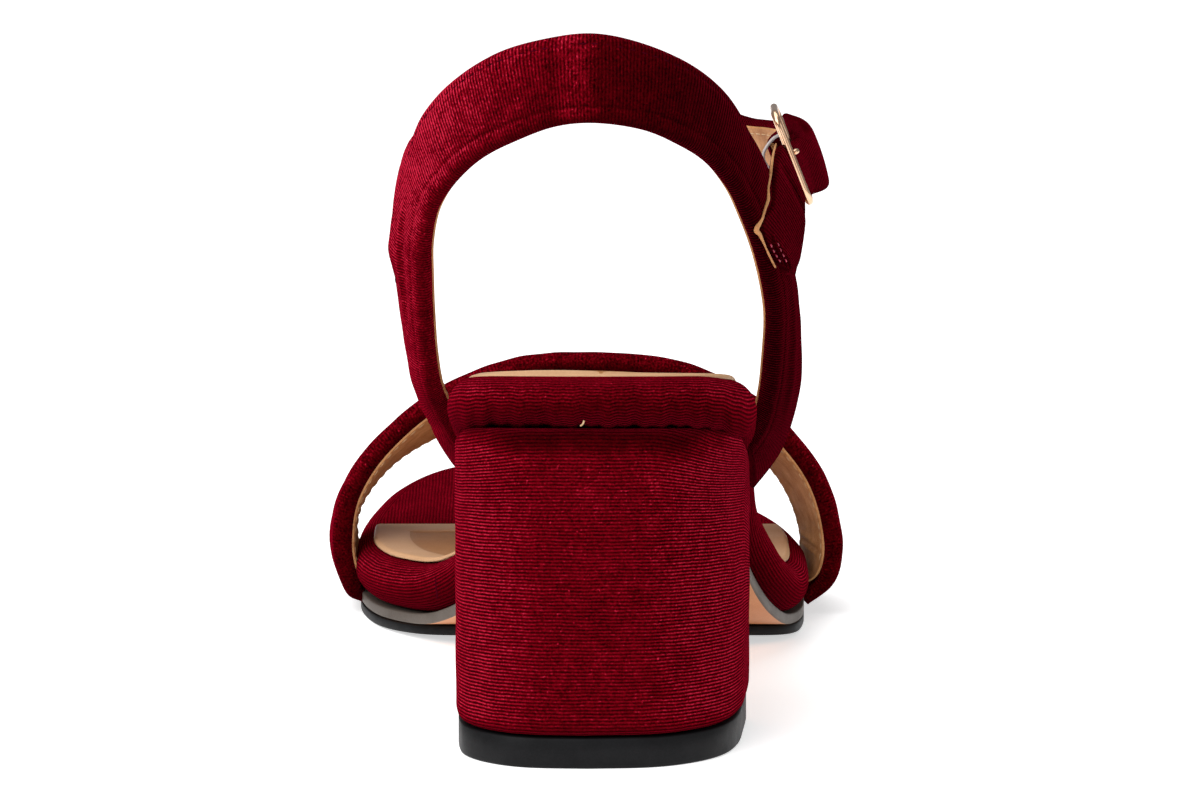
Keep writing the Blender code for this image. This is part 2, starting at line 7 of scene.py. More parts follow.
import bmesh
import bpy
import numpy as np
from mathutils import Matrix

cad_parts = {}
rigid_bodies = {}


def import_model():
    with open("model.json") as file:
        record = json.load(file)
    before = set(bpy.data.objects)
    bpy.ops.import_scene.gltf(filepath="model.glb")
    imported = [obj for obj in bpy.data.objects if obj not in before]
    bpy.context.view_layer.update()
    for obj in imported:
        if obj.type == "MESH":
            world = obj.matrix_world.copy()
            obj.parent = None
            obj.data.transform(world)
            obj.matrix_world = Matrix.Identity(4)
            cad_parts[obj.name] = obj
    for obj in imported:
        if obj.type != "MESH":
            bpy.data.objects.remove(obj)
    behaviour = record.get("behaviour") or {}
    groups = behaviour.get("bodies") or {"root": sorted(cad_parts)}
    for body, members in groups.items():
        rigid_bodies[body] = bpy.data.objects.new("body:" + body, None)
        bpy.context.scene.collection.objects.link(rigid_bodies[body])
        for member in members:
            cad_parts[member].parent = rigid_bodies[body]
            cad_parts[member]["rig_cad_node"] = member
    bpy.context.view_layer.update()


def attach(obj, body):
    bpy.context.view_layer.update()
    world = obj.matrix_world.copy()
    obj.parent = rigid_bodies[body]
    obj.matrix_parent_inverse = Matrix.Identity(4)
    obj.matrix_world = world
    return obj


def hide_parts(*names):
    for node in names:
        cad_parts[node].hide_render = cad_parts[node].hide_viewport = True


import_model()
print("frame loaded")

shoe = {
    "length": 0.2245,
    "seatWidth": 0.0546,
    "ballWidth": 0.0857,
    "seatEnd": 0.206,  # share of the length where the seat's width starts to grow
    "ballAlong": 0.583,
    "heelRest": 0.022,
    "heelHeight": 0.0598,
    "heelWidth": 0.0514,
    "heelDepth": 0.0440,
    "soleStack": 0.0044,
    "toeSpring": 0.0031,
    "gap": 0.0003,
    "slingSpan": 0.0754,
    "slingTop": 0.1277,
    "toeCrown": 0.0525,
}


def thousandths(*rows):
    return np.array(rows) / 1000


# A strap's rows, with a last column for its share of the thickness: that is 1 but for
# the first and the last rows.
def strapTable(firstShares, lastShares, *rows):
    shares = np.ones(len(rows))
    shares[:len(firstShares)], shares[-len(lastShares):] = firstShares, lastShares
    return np.column_stack([thousandths(*rows), shares])


# along, inner edge, outer edge: thousandths of the length and of the width there
footbedOutline = thousandths(
    (0, 0, 0), (12, -255, 245), (40, -405, 398), (94, -492, 488), (200, -481, 500), (290, -402, 467),
    (379, -330, 418), (441, -359, 438), (481, -403, 449), (526, -457, 453), (570, -506, 454),
    (624, -541, 454), (677, -548, 448), (766, -541, 406), (846, -513, 327), (900, -478, 245),
    (949, -414, 122), (980, -322, -10), (1000, -163, -163))
soleOutline = thousandths(
    (20, 0, 0), (30, -240, 230), (55, -345, 340), (100, -400, 410), (200, -418, 440), (290, -358, 420),
    (379, -300, 386), (441, -338, 404), (481, -382, 417), (526, -436, 431), (570, -486, 441),
    (624, -524, 446), (677, -536, 440), (766, -526, 395), (846, -497, 316), (898, -460, 236),
    (945, -396, 115), (974, -310, -15), (992, -163, -163))
rubberOutline = np.vstack([thousandths(
    (481, 0, 0), (483, -120, 140), (488, -235, 260), (500, -335, 360), (526, -418, 424),
    (570, -484, 440)), soleOutline[11:]])
# along, rise, toe spring
undersideRows = thousandths(
    (0, 1000, 0), (53, 966, 0), (107, 918, 0), (156, 850, 0), (214, 762, 0), (267, 661, 0), (312, 543, 0),
    (356, 405, 0), (379, 330, 0), (401, 256, 0), (423, 184, 0), (445, 124, 0), (481, 57, 0), (512, 24, 0),
    (557, 7, 0), (601, 1, 0), (660, 0, 0), (760, 0, 0), (850, 0, 150), (920, 0, 450), (1000, 0, 1000))
# inner x, inner along, outer x, outer along: thousandths of the heel's width and depth
heelOutline = thousandths(
    (-51, 0, -51, 0), (-262, 25, 163, 25), (-399, 123, 307, 111), (-479, 273, 418, 261),
    (-500, 477, 475, 477), (-498, 727, 496, 727), (-494, 1000, 512, 1000))
# shares of thickness at both ends, then rows: first edge x, along, z, second edge x, along, z
toeStrapRows = strapTable(
    (0.5, 0.85), (0.85, 0.5),
    (-528, 641, 36, -528, 741, 40), (-566, 630, 82, -564, 736, 84), (-592, 619, 250, -592, 727, 240),
    (-573, 606, 468, -567, 718, 395), (-495, 592, 676, -480, 714, 560), (-356, 583, 870, -342, 714, 680),
    (-182, 579, 984, -171, 714, 755), (0, 579, 1000, -12, 714, 768), (173, 579, 969, 143, 714, 735),
    (328, 583, 850, 273, 714, 660), (440, 591, 668, 388, 716, 548), (504, 601, 492, 452, 722, 400),
    (533, 613, 275, 484, 729, 230), (514, 621, 122, 474, 734, 110), (456, 630, 36, 430, 739, 40))
slingRows = strapTable(
    (0.5, 0.9), (0.9, 0.5),
    (-322, 284, 307, -332, 205, 377), (-385, 266, 365, -370, 187, 418), (-447, 236, 458, -407, 160, 473),
    (-468, 212, 532, -420, 145, 524), (-484, 187, 606, -424, 127, 582), (-500, 165, 676, -424, 107, 645),
    (-489, 145, 743, -424, 93, 694), (-459, 120, 815, -406, 83, 743), (-420, 98, 877, -360, 70, 784),
    (-348, 75, 928, -292, 55, 823), (-246, 50, 970, -200, 39, 853), (-126, 32, 993, -109, 30, 873),
    (-13, 27, 1000, -13, 27, 878), (106, 36, 984, 96, 31, 869), (213, 56, 953, 180, 40, 849),
    (296, 82, 907, 253, 58, 820), (355, 111, 842, 314, 76, 778), (398, 136, 784, 352, 91, 731),
    (424, 156, 727, 384, 107, 680), (448, 178, 661, 406, 122, 626), (465, 196, 598, 414, 138, 579),
    (475, 219, 525, 409, 156, 524), (473, 241, 453, 400, 174, 468), (434, 268, 362, 382, 191, 414),
    (362, 286, 297, 352, 205, 379))
frontStrapRows = strapTable(
    (0.8,), (1.6, 1.2),
    (-452, 137, 780, -462, 152, 682), (-468, 187, 793, -492, 196, 692), (-441, 258, 816, -466, 267, 722),
    (-355, 330, 844, -378, 346, 760), (-199, 377, 866, -212, 396, 784), (0, 390, 874, 0, 410, 796),
    (186, 377, 856, 199, 396, 779), (333, 337, 822, 356, 351, 751), (420, 289, 823, 446, 298, 743),
    (443, 254, 826, 478, 254, 742), (428, 226, 822, 481, 226, 738), (424, 218, 820, 479, 218, 738))
tabRows = strapTable(
    (0.8,), (0.8,),
    (444, 151, 636, 402, 121, 658), (450, 158, 646, 360, 97, 720), (459, 166, 660, 386, 118, 747),
    (470, 169, 702, 394, 132, 786), (471, 168, 738, 408, 160, 812), (490, 193, 740, 446, 193, 816),
    (528, 224, 742, 484, 224, 820), (508, 262, 751, 472, 262, 829), (462, 312, 765, 431, 312, 827))

# points that a smooth curve has for each span between two rows
curveSteps = 24
strapSteps = 16


# Smooth curve through rows: each span is a cubic whose slope at a row is half the
# step between the rows before and after it.
def smoothRows(rows, perSpan=curveSteps):
    rows = np.array(rows, dtype=float)
    before = np.vstack([2 * rows[0] - rows[1], rows[:-1]])[: len(rows) - 1]
    start, stop = rows[:-1], rows[1:]
    after = np.vstack([rows[2:], 2 * rows[-1] - rows[-2]])
    t = (np.arange(perSpan) / perSpan)[None, :, None]
    b, s, e, a = (part[:, None, :] for part in (before, start, stop, after))
    cubic = (2 * s + (e - b) * t + (2 * b - 5 * s + 4 * e - a) * t**2 + (3 * s - b - 3 * e + a) * t**3) / 2
    return np.vstack([cubic.reshape(-1, rows.shape[1]), rows[-1]])


def unit(vectors):
    return vectors / np.maximum(np.linalg.norm(vectors, axis=-1, keepdims=True), 1e-12)


def lengthsAlong(path):
    return np.concatenate([[0], np.cumsum(np.linalg.norm(np.diff(path, axis=0), axis=1))])


def sample(at, run, values):
    # the columns of values at the lengths in at
    return np.stack([np.interp(at, run, column) for column in values.T], axis=1)


def evenPath(path, step):
    # the same line with points an even step apart
    run = lengthsAlong(path)
    count = max(2, int(round(run[-1] / step)) + 1)
    return sample(np.linspace(0, run[-1], count), run, path)


def softStep(x):
    x = np.clip(x, 0, 1)
    return x * x * (3 - 2 * x)


def rising(value, begin, reach):
    # nothing up to begin, one from reach past it
    return softStep((value - begin) / reach)


def widthAt(along):
    grow = rising(along / shoe["length"], shoe["seatEnd"], shoe["ballAlong"] - shoe["seatEnd"])
    return shoe["seatWidth"] + (shoe["ballWidth"] - shoe["seatWidth"]) * grow


# the underside's heights at even shares of the length, smoothed by a bell curve
smoothing = {"from": -0.1, "to": 1.1, "count": 1201, "bellCount": 31, "bellReach": 2.5}
undersideCurve = smoothRows(undersideRows)
climb = shoe["heelHeight"] + shoe["gap"] - shoe["soleStack"]
undersideHeights = shoe["soleStack"] + np.maximum(
    undersideCurve[:, 1] * climb + undersideCurve[:, 2] * shoe["toeSpring"], 0)
bell = np.exp(-np.linspace(-smoothing["bellReach"], smoothing["bellReach"], smoothing["bellCount"]) ** 2)
bell /= bell.sum()
evenShares = np.linspace(smoothing["from"], smoothing["to"], smoothing["count"])
evenHeights = np.interp(evenShares, undersideCurve[:, 0], undersideHeights)
evenHeights = np.convolve(np.pad(evenHeights, smoothing["bellCount"] // 2, mode="edge"), bell, mode="valid")


def underside(along):
    return np.interp(along / shoe["length"], evenShares, evenHeights)


def steepness(along):
    # upright measure of one unit square to the footbed's slope
    reach = 0.003
    slope = (underside(along + reach) - underside(along - reach)) / (2 * reach)
    return np.sqrt(1 + slope**2)


def inwardWay(loop):
    # square to a closed flat loop, to its inner side
    ahead = np.roll(loop, -2, axis=0) - np.roll(loop, 2, axis=0)
    return unit(np.stack([ahead[:, 1], -ahead[:, 0]], axis=1))


# Both edges of an outline moved inwards, paired at stations that crowd at the ends.
def pairedEdges(outline, inset, begin, end, count):
    run = outline[:, 0] * shoe["length"]
    inner, outer = (np.stack([outline[:, side] * widthAt(run), run], axis=1) for side in (1, 2))
    loop = np.vstack([inner, outer[-2:0:-1]])
    turned = np.vstack([loop[-2:], loop, loop[:3]])
    smooth = smoothRows(turned)[2 * curveSteps:-2 * curveSteps]
    half = (len(inner) - 1) * curveSteps
    moved = smooth + inwardWay(smooth) * inset
    left = moved[: half + 1]
    right = np.vstack([moved[half:], moved[:1]])[::-1]
    back, tip = max(left[0, 1], begin), min(left[-1, 1], end)
    at = back + (tip - back) * (1 - np.cos(np.linspace(0, math.pi, count))) / 2
    return tuple(np.stack([np.interp(at, side[:, 1], side[:, 0]), at], axis=1) for side in (left, right))


# Puts points and four-cornered faces into a mesh. A corner named twice makes a
# triangle. cloth holds two lengths in metres for each face corner, ribs run across v.
def putMesh(name, points, quads, cloth, materials, faceMaterial=None):
    points = points - (0, shoe["heelRest"], 0)
    keep = quads != np.roll(quads, 1, axis=1)
    counts = keep.sum(axis=1)
    whole = counts > 2
    quads, keep, counts, cloth = quads[whole], keep[whole], counts[whole], cloth[whole]
    mesh = bpy.data.meshes.new(name)
    mesh.vertices.add(len(points))
    mesh.vertices.foreach_set("co", points.astype(np.float32).ravel())
    mesh.loops.add(int(counts.sum()))
    mesh.loops.foreach_set("vertex_index", quads[keep].astype(np.int32))
    mesh.polygons.add(len(quads))
    mesh.polygons.foreach_set("loop_start", np.concatenate([[0], np.cumsum(counts)[:-1]]).astype(np.int32))
    mesh.polygons.foreach_set("loop_total", counts.astype(np.int32))
    layer = mesh.uv_layers.new(name="cloth")
    layer.data.foreach_set("uv", cloth[keep].astype(np.float32).ravel())
    for material in materials:
        mesh.materials.append(material)
    if faceMaterial is not None:
        mesh.polygons.foreach_set("material_index", faceMaterial[whole].astype(np.int32))
    mesh.update(calc_edges=True)
    mesh.validate()
    shell = bmesh.new()
    shell.from_mesh(mesh)
    bmesh.ops.recalc_face_normals(shell, faces=shell.faces)
    shell.to_mesh(mesh)
    shell.free()
    mesh.shade_smooth()
    piece = bpy.data.objects.new(name, mesh)
    bpy.context.scene.collection.objects.link(piece)
    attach(piece, "root")
    return piece


def cellCorners(grid):
    # the four corners of each cell of a grid, in order round it
    corners = np.stack([grid[:-1, :-1], grid[:-1, 1:], grid[1:, 1:], grid[1:, :-1]], axis=2)
    return corners.reshape(-1, 4, *grid.shape[2:])


def ringFaces(ids):
    # faces between rows of points that each close on themselves
    return cellCorners(np.column_stack([ids, ids[:, :1]]))


def fanFaces(first, second, hub):
    hubs = np.full(len(first), hub)
    return np.stack([first, second, hubs, hubs], axis=1)


# Faces between closed rows of points and their cloth lengths: around has a length for
# each point of a row and one more where it closes, over has one for each row.
def tubeFaces(around, over):
    size = len(around) - 1
    quads = ringFaces(np.arange(len(over) * size).reshape(-1, size))
    return quads, cellCorners(np.stack(np.meshgrid(around, over), axis=-1))


# A plate along the foot: rings at given insets and heights, closed below and above by
# rows that join the two edges. Walls take (distance round, distance over the edge)
# and the flat sides (along, x) as cloth lengths.
def plate(name, outline, levels, begin, end, count, across, materials, faceRule=None, crown=None,
          warp=None):
    left = pairedEdges(outline, 0, -1, 1, 9)[0]
    low = 1 if begin <= left[0, 1] else 0
    high = count - 1 if end >= left[-1, 1] else count
    rings = []
    for inset, height in levels:
        inner, outer = pairedEdges(outline, inset, begin, end, count)
        ring = np.vstack([inner, outer[low:high][::-1]])
        rings.append(np.column_stack([ring, height(ring[:, 1])]))
    rings = np.array(rings)
    levelCount, size = rings.shape[:2]
    points = rings.reshape(-1, 3)
    middle = rings[levelCount // 2]
    around = lengthsAlong(np.vstack([middle, middle[:1]]))
    walls, wallCloth = tubeFaces(around, lengthsAlong(rings[:, size // 4]))
    quads, cloth, groups = [walls], [wallCloth], [np.zeros(len(walls), dtype=int)]
    row = np.arange(count)
    pointy = (row < low) | (row >= high)
    mates = np.where(pointy, row, size - 1 - (row - low))
    share = np.linspace(0, 1, across + 1)[None, 1:-1, None]
    # group 1 is the lower flat side, group 2 the upper one
    for side, level in ((1, 0), (2, levelCount - 1)):
        leftIds, rightIds = level * size + row, level * size + mates
        inner = points[leftIds][:, None, :] * (1 - share) + points[rightIds][:, None, :] * share
        if crown is not None and side == 2:
            inner[..., 2] += crown(inner[..., 0], inner[..., 1])
        ids = len(points) + np.arange(count * (across - 1)).reshape(count, -1)
        grid = np.column_stack([leftIds, ids, rightIds])
        grid[pointy] = leftIds[pointy][:, None]
        points = np.vstack([points, inner.reshape(-1, 3)])
        faces = cellCorners(grid)
        quads.append(faces)
        cloth.append(points[faces][..., [1, 0]])
        groups.append(np.full(len(faces), side))
    if warp is not None:
        points = warp(points)
    quads, cloth, groups = np.vstack(quads), np.vstack(cloth), np.concatenate(groups)
    rule = None if faceRule is None else faceRule(groups, points[quads].mean(axis=1))
    return putMesh(name, points, quads, cloth, materials, rule)


# Soft creases on a strap. Each is a line from (row, across) to (row, across), rows of
# the strap's table and shares of its width, with a half width and a height in metres:
# the face moves out by the height times a bell curve of the distance to the line.
def creaseField(run, share, rowRuns, width, creases):
    lift = np.zeros(np.broadcast(run, share).shape)
    rows = np.arange(len(rowRuns))
    for row0, share0, row1, share1, halfWidth, height in creases:
        x0, x1 = np.interp((row0, row1), rows, rowRuns)
        y0, y1 = share0 * width, share1 * width
        dx, dy = x1 - x0, y1 - y0
        t = np.clip(((run - x0) * dx + (share * width - y0) * dy) / (dx * dx + dy * dy + 1e-12), 0, 1)
        gap2 = (run - x0 - t * dx) ** 2 + (share * width - y0 - t * dy) ** 2
        # the crease fades to its ends
        fade = 1 - 0.65 * np.abs(2 * t - 1) ** 3
        lift = lift + height * fade * np.exp(-gap2 / halfWidth**2)
    return lift


# Middle line, width and two directions of a strap from its table.
def strapLine(rows, sizes, core, step):
    curve = smoothRows(rows, strapSteps)
    first, second = curve[:, 0:3] * sizes, curve[:, 3:6] * sizes
    run = lengthsAlong((first + second) / 2)
    at = np.linspace(0, run[-1], int(run[-1] / step) + 1)
    even = sample(at, run, np.column_stack([first, second, curve[:, 6]]))
    first, second = even[:, 0:3], even[:, 3:6]
    middle = (first + second) / 2
    across = unit(first - second)
    inward = unit(np.cross(np.gradient(middle, axis=0), across))
    flip = np.where(np.einsum("ij,ij->i", inward, np.array(core) - middle) < 0, -1.0, 1.0)
    return {"middle": middle, "across": across, "inward": inward * flip[:, None],
            "width": np.linalg.norm(first - second, axis=1), "share": even[:, 6], "run": at,
            "rowRuns": run[::strapSteps]}


def edgePlace(width, fromEdge):
    # fromEdge above zero counts from a strap's first edge, below zero from the second
    return width / 2 - fromEdge if fromEdge > 0 else -width / 2 - fromEdge


strapShape = {
    "edgeCount": 7,
    "tipWidth": 0.02,
}


# A padded strap: a flat loop with half-round edges is carried along the middle line.
# The outer face swells by a crown that fades to the edges; grooves run along it.
def strapBody(name, line, thickness, material, crown, creases=(), grooves=(), faceCount=16, underCount=14,
              depthFrom=0.0, inset=0.0, endRound=0.0, ripple=0.0, creaseUnder=False):
    run, edgeCount = line["run"][:, None], strapShape["edgeCount"]
    width = line["width"][:, None] - 2 * inset
    if endRound > 0:
        near = np.minimum(run, run[-1] - run)
        pinch = 1 - np.clip(1 - near / endRound, 0, 1) ** 2
        width = width * np.sqrt(np.clip(pinch, strapShape["tipWidth"], 1))
    half = thickness * line["share"][:, None] / 2
    flat = np.linspace(1, -1, faceCount)
    turn = np.linspace(0, math.pi, edgeCount + 2)[1:-1]
    reach = width / 2 - half
    a = np.concatenate([reach * flat, -reach - half * np.sin(turn), reach * np.linspace(-1, 1, underCount),
                        reach + half * np.sin(turn)], axis=1)
    bend = np.cos(turn)
    d = half * np.concatenate([np.zeros(faceCount), 1 - bend, np.full(underCount, 2), 1 + bend])
    share = a / width
    lift = crown * (1 - (2 * share) ** 2)
    lift = lift + creaseField(run, share, line["rowRuns"], float(line["width"].max()), creases)
    for fromEdge, halfWidth, height in grooves:
        lift = lift + height * np.exp(-((a - edgePlace(width, fromEdge)) / halfWidth) ** 2)
    if ripple > 0:
        lift = lift + ripple * (np.sin(run * 610 + share * 5) * np.sin(run * 233 + 1.3)
                                + 0.5 * np.sin(run * 1010 - share * 7))
    toFace, toUnder = np.clip(bend, 0, 1), np.clip(-bend, 0, 1)
    if creaseUnder:
        # a lining shows its under face, so its creases stand there
        out = np.concatenate([np.zeros(faceCount), toUnder, -np.ones(underCount), -toFace])
    else:
        out = np.concatenate([np.ones(faceCount), toFace, np.zeros(underCount), toUnder])
    d = d - lift * out + depthFrom
    points = (line["middle"][:, None, :] + a[..., None] * line["across"][:, None, :]
              + d[..., None] * line["inward"][:, None, :]).reshape(-1, 3)
    rows, size = a.shape
    around = lengthsAlong(np.column_stack([a[rows // 2], d[rows // 2]]))
    quads, cloth = tubeFaces(np.append(around, around[-1] + thickness / 4), line["run"])
    # ends: the outer face is sewn to the under face by strips, and fans fill the edges
    caps = []
    under = faceCount + edgeCount
    one = np.arange(faceCount)
    mates = under + underCount - 1 - np.round((underCount - 1) * (1 - flat) / 2).astype(int)
    for base in (0, (rows - 1) * size):
        caps.append(base + np.stack([one[:-1], one[1:], mates[1:], mates[:-1]], axis=1))
        for start, stop, hub in ((faceCount - 1, under, under), (under + underCount - 1, size, 0)):
            edge = np.arange(start, stop)
            caps.append(base + fanFaces(edge, (edge + 1) % size, hub))
    caps = np.vstack(caps)
    cloth = np.vstack([cloth, points[caps][..., [0, 1]]])
    return putMesh(name, points, np.vstack([quads, caps]), cloth, [material])


def circle(side, up, count):
    turn = np.linspace(0, 2 * math.pi, count, endpoint=False)[None, :, None]
    return np.cos(turn) * side[:, None, :] + np.sin(turn) * up[:, None, :]


# A round wire: circles square to a path. No wire here runs along wireSide.
wireSide = (0.92, 0.05, 0.39)


def wire(name, path, radius, sides, material, closed=False, taper=1.0):
    way = unit(np.roll(path, -1, axis=0) - np.roll(path, 1, axis=0) if closed else np.gradient(path, axis=0))
    side = unit(np.cross(way, wireSide))
    size = radius * taper * np.ones(len(path))
    points = path[:, None, :] + size[:, None, None] * circle(side, np.cross(way, side), sides)
    points = points.reshape(-1, 3)
    ids = np.arange(len(points)).reshape(-1, sides)
    if closed:
        quads = ringFaces(np.vstack([ids, ids[:1]]))
    else:
        hub = len(points)
        points = np.vstack([points, path[:1], path[-1:]])
        quads = np.vstack([ringFaces(ids), fanFaces(ids[0], np.roll(ids[0], -1), hub),
                           fanFaces(ids[-1], np.roll(ids[-1], -1), hub + 1)])
    return putMesh(name, points, quads, points[quads][..., [1, 2]], [material])


stitchShape = {
    "gapShare": 0.28,
    "sink": 0.3,
    # six rings of a stitch: place along it, thickness and dip at the ends
    "along": (-1, -0.86, -0.4, 0.4, 0.86, 1),
    "thick": (0.15, 0.7, 1, 1, 0.7, 0.15),
    "dip": (0.9, 0.5, 0, 0, 0.5, 0.9),
}


# A row of stitches: one small capsule per stitch, laid along a path on a face.
def stitches(name, path, outward, pitch, radius, material):
    run = lengthsAlong(path)
    count = int(run[-1] / pitch)
    centres = (np.arange(count) + 0.5) * run[-1] / count
    half = pitch * (1 - stitchShape["gapShare"]) / 2
    begin, stop = sample(centres - half, run, path), sample(centres + half, run, path)
    up = unit(sample(centres, run, outward))
    way = unit(stop - begin)
    side = unit(np.cross(way, up))
    centre = (begin + stop) / 2 + up * radius * (1 - 2 * stitchShape["sink"])
    along, thick, dip = (np.array(stitchShape[key])[None, :, None, None] for key in ("along", "thick", "dip"))
    points = (centre[:, None, None, :] + along * half * way[:, None, None, :]
              + thick * radius * circle(side, up, 6)[:, None] - dip * radius * up[:, None, None, :])
    points = points.reshape(-1, 3)
    ids = np.arange(len(points)).reshape(count, 6, 6)
    nxt = np.roll(ids, -1, axis=2)
    walls = np.stack([ids[:, :-1], nxt[:, :-1], nxt[:, 1:], ids[:, 1:]], axis=-1).reshape(-1, 4)
    caps = [ids[:, 0, :4], ids[:, 0, [0, 3, 4, 5]], ids[:, 5, [3, 2, 1, 0]], ids[:, 5, [5, 4, 3, 0]]]
    quads = np.vstack([walls, *caps])
    return putMesh(name, points, quads, points[quads][..., [1, 2]], [material])


def startFinish(name):
    material = bpy.data.materials.new(name)
    material.use_nodes = True
    return material, material.node_tree, material.node_tree.nodes["Principled BSDF"]


def setInputs(tree, node, inputs):
    for key, value in dict(inputs).items():
        if isinstance(value, bpy.types.NodeSocket):
            tree.links.new(value, node.inputs[key])
        else:
            node.inputs[key].default_value = value


def addNode(tree, kind, inputs=(), **settings):
    node = tree.nodes.new(kind)
    for key, value in settings.items():
        setattr(node, key, value)
    setInputs(tree, node, inputs)
    return node


def mathNode(tree, operation, *values):
    return addNode(tree, "ShaderNodeMath", enumerate(values), operation=operation).outputs[0]


def weightedSum(tree, *parts):
    total = 0.0
    for value, weight in parts:
        total = mathNode(tree, "MULTIPLY_ADD", value, weight, total)
    return total


def mapRange(tree, value, *limits):
    # from low, from high, to low, to high
    return addNode(tree, "ShaderNodeMapRange", enumerate((value, *limits))).outputs[0]


def ramp(tree, factor, stops):
    node = addNode(tree, "ShaderNodeValToRGB", {0: factor})
    while len(node.color_ramp.elements) < len(stops):
        node.color_ramp.elements.new(0.5)
    for element, (place, colour) in zip(node.color_ramp.elements, stops):
        element.position = place
        element.color = (*colour, 1)
    return node.outputs[0]


def noise(tree, vector, scale, detail, roughness):
    return addNode(tree, "ShaderNodeTexNoise", {
        "Vector": vector, "Scale": scale, "Detail": detail, "Roughness": roughness}).outputs[0]


def bump(tree, height, strength, distance, below=None):
    inputs = {"Strength": strength, "Distance": distance, "Height": height}
    if below is not None:
        inputs["Normal"] = below
    return addNode(tree, "ShaderNodeBump", inputs).outputs[0]


def axes(tree, vector):
    return addNode(tree, "ShaderNodeSeparateXYZ", {0: vector}).outputs


velvet = {
    "ribPitch": 0.00062,
    "ribWander": 0.00042,
    "ribPower": 0.7,
    "ribDepth": 0.00026,
    "tufts": (1700.0, 2400.0),  # a metre, along the ribs and across them
    "pileDepth": 0.00016,
    # scale, detail and roughness of each noise
    "wander": (220, 2, 0.5),
    "tuft": (1.0, 3, 0.6),
    "pile": (2500, 2, 0.65),
    "patch": (90, 4, 0.6),
    "brushed": (420, 3, 0.55),
    "speck": (1500, 1, 0.5),
    # shares of rib, tuft, patch, brushed and pile in the tone, and what is taken off
    "shares": (0.40, 0.75, 0.20, 0.42, 0.95),
    "toneOff": 0.90,
    "fineShares": (0.7, 0.5),
    # from low, from high, to low, to high
    "speckRange": (0.72, 0.80, 0.0, 0.5),
    # painted shade: tone by how far the face turns up, darker where it faces down
    "downShade": (-0.80, 0.35, 0.28, 1.0),
    # painted highlight along the fold: distances from it, and its tone
    "foldHighlight": (0.0012, 0.0042, 1.5, 1.0),
    # painted shade under the rim on the heel cover, and how unevenly its edge wanders
    "seamShade": (1.0, 0.35),
    "seamShadeWander": 0.012,
    "roughness": (0.3, 0.75, 0.62, 0.36),
    # painted rib highlight and shade where the cloth turns sideways
    "sideRibLightRange": (0.10, 0.75, 0.0),
    "sideRibLightShare": 0.45,
    "ribMiddle": 0.45,
    # painted light-to-shade gradient across the shoe: where it starts and ends
    "sideShadeFrom": (-0.036, 0.020),
    # where the painted fold highlight stands across the shoe
    "foldHighlightAt": -0.0045,
    "tones": ((0.05, (0.006, 0.00005, 0.0004)), (0.36, (0.066, 0.0003, 0.0019)),
              (0.66, (0.200, 0.0014, 0.0075)), (0.92, (0.50, 0.016, 0.045))),
    "sheen": 0.30,
    "sheenRoughness": 0.38,
    "sheenTint": (0.75, 0.006, 0.045, 1),
}
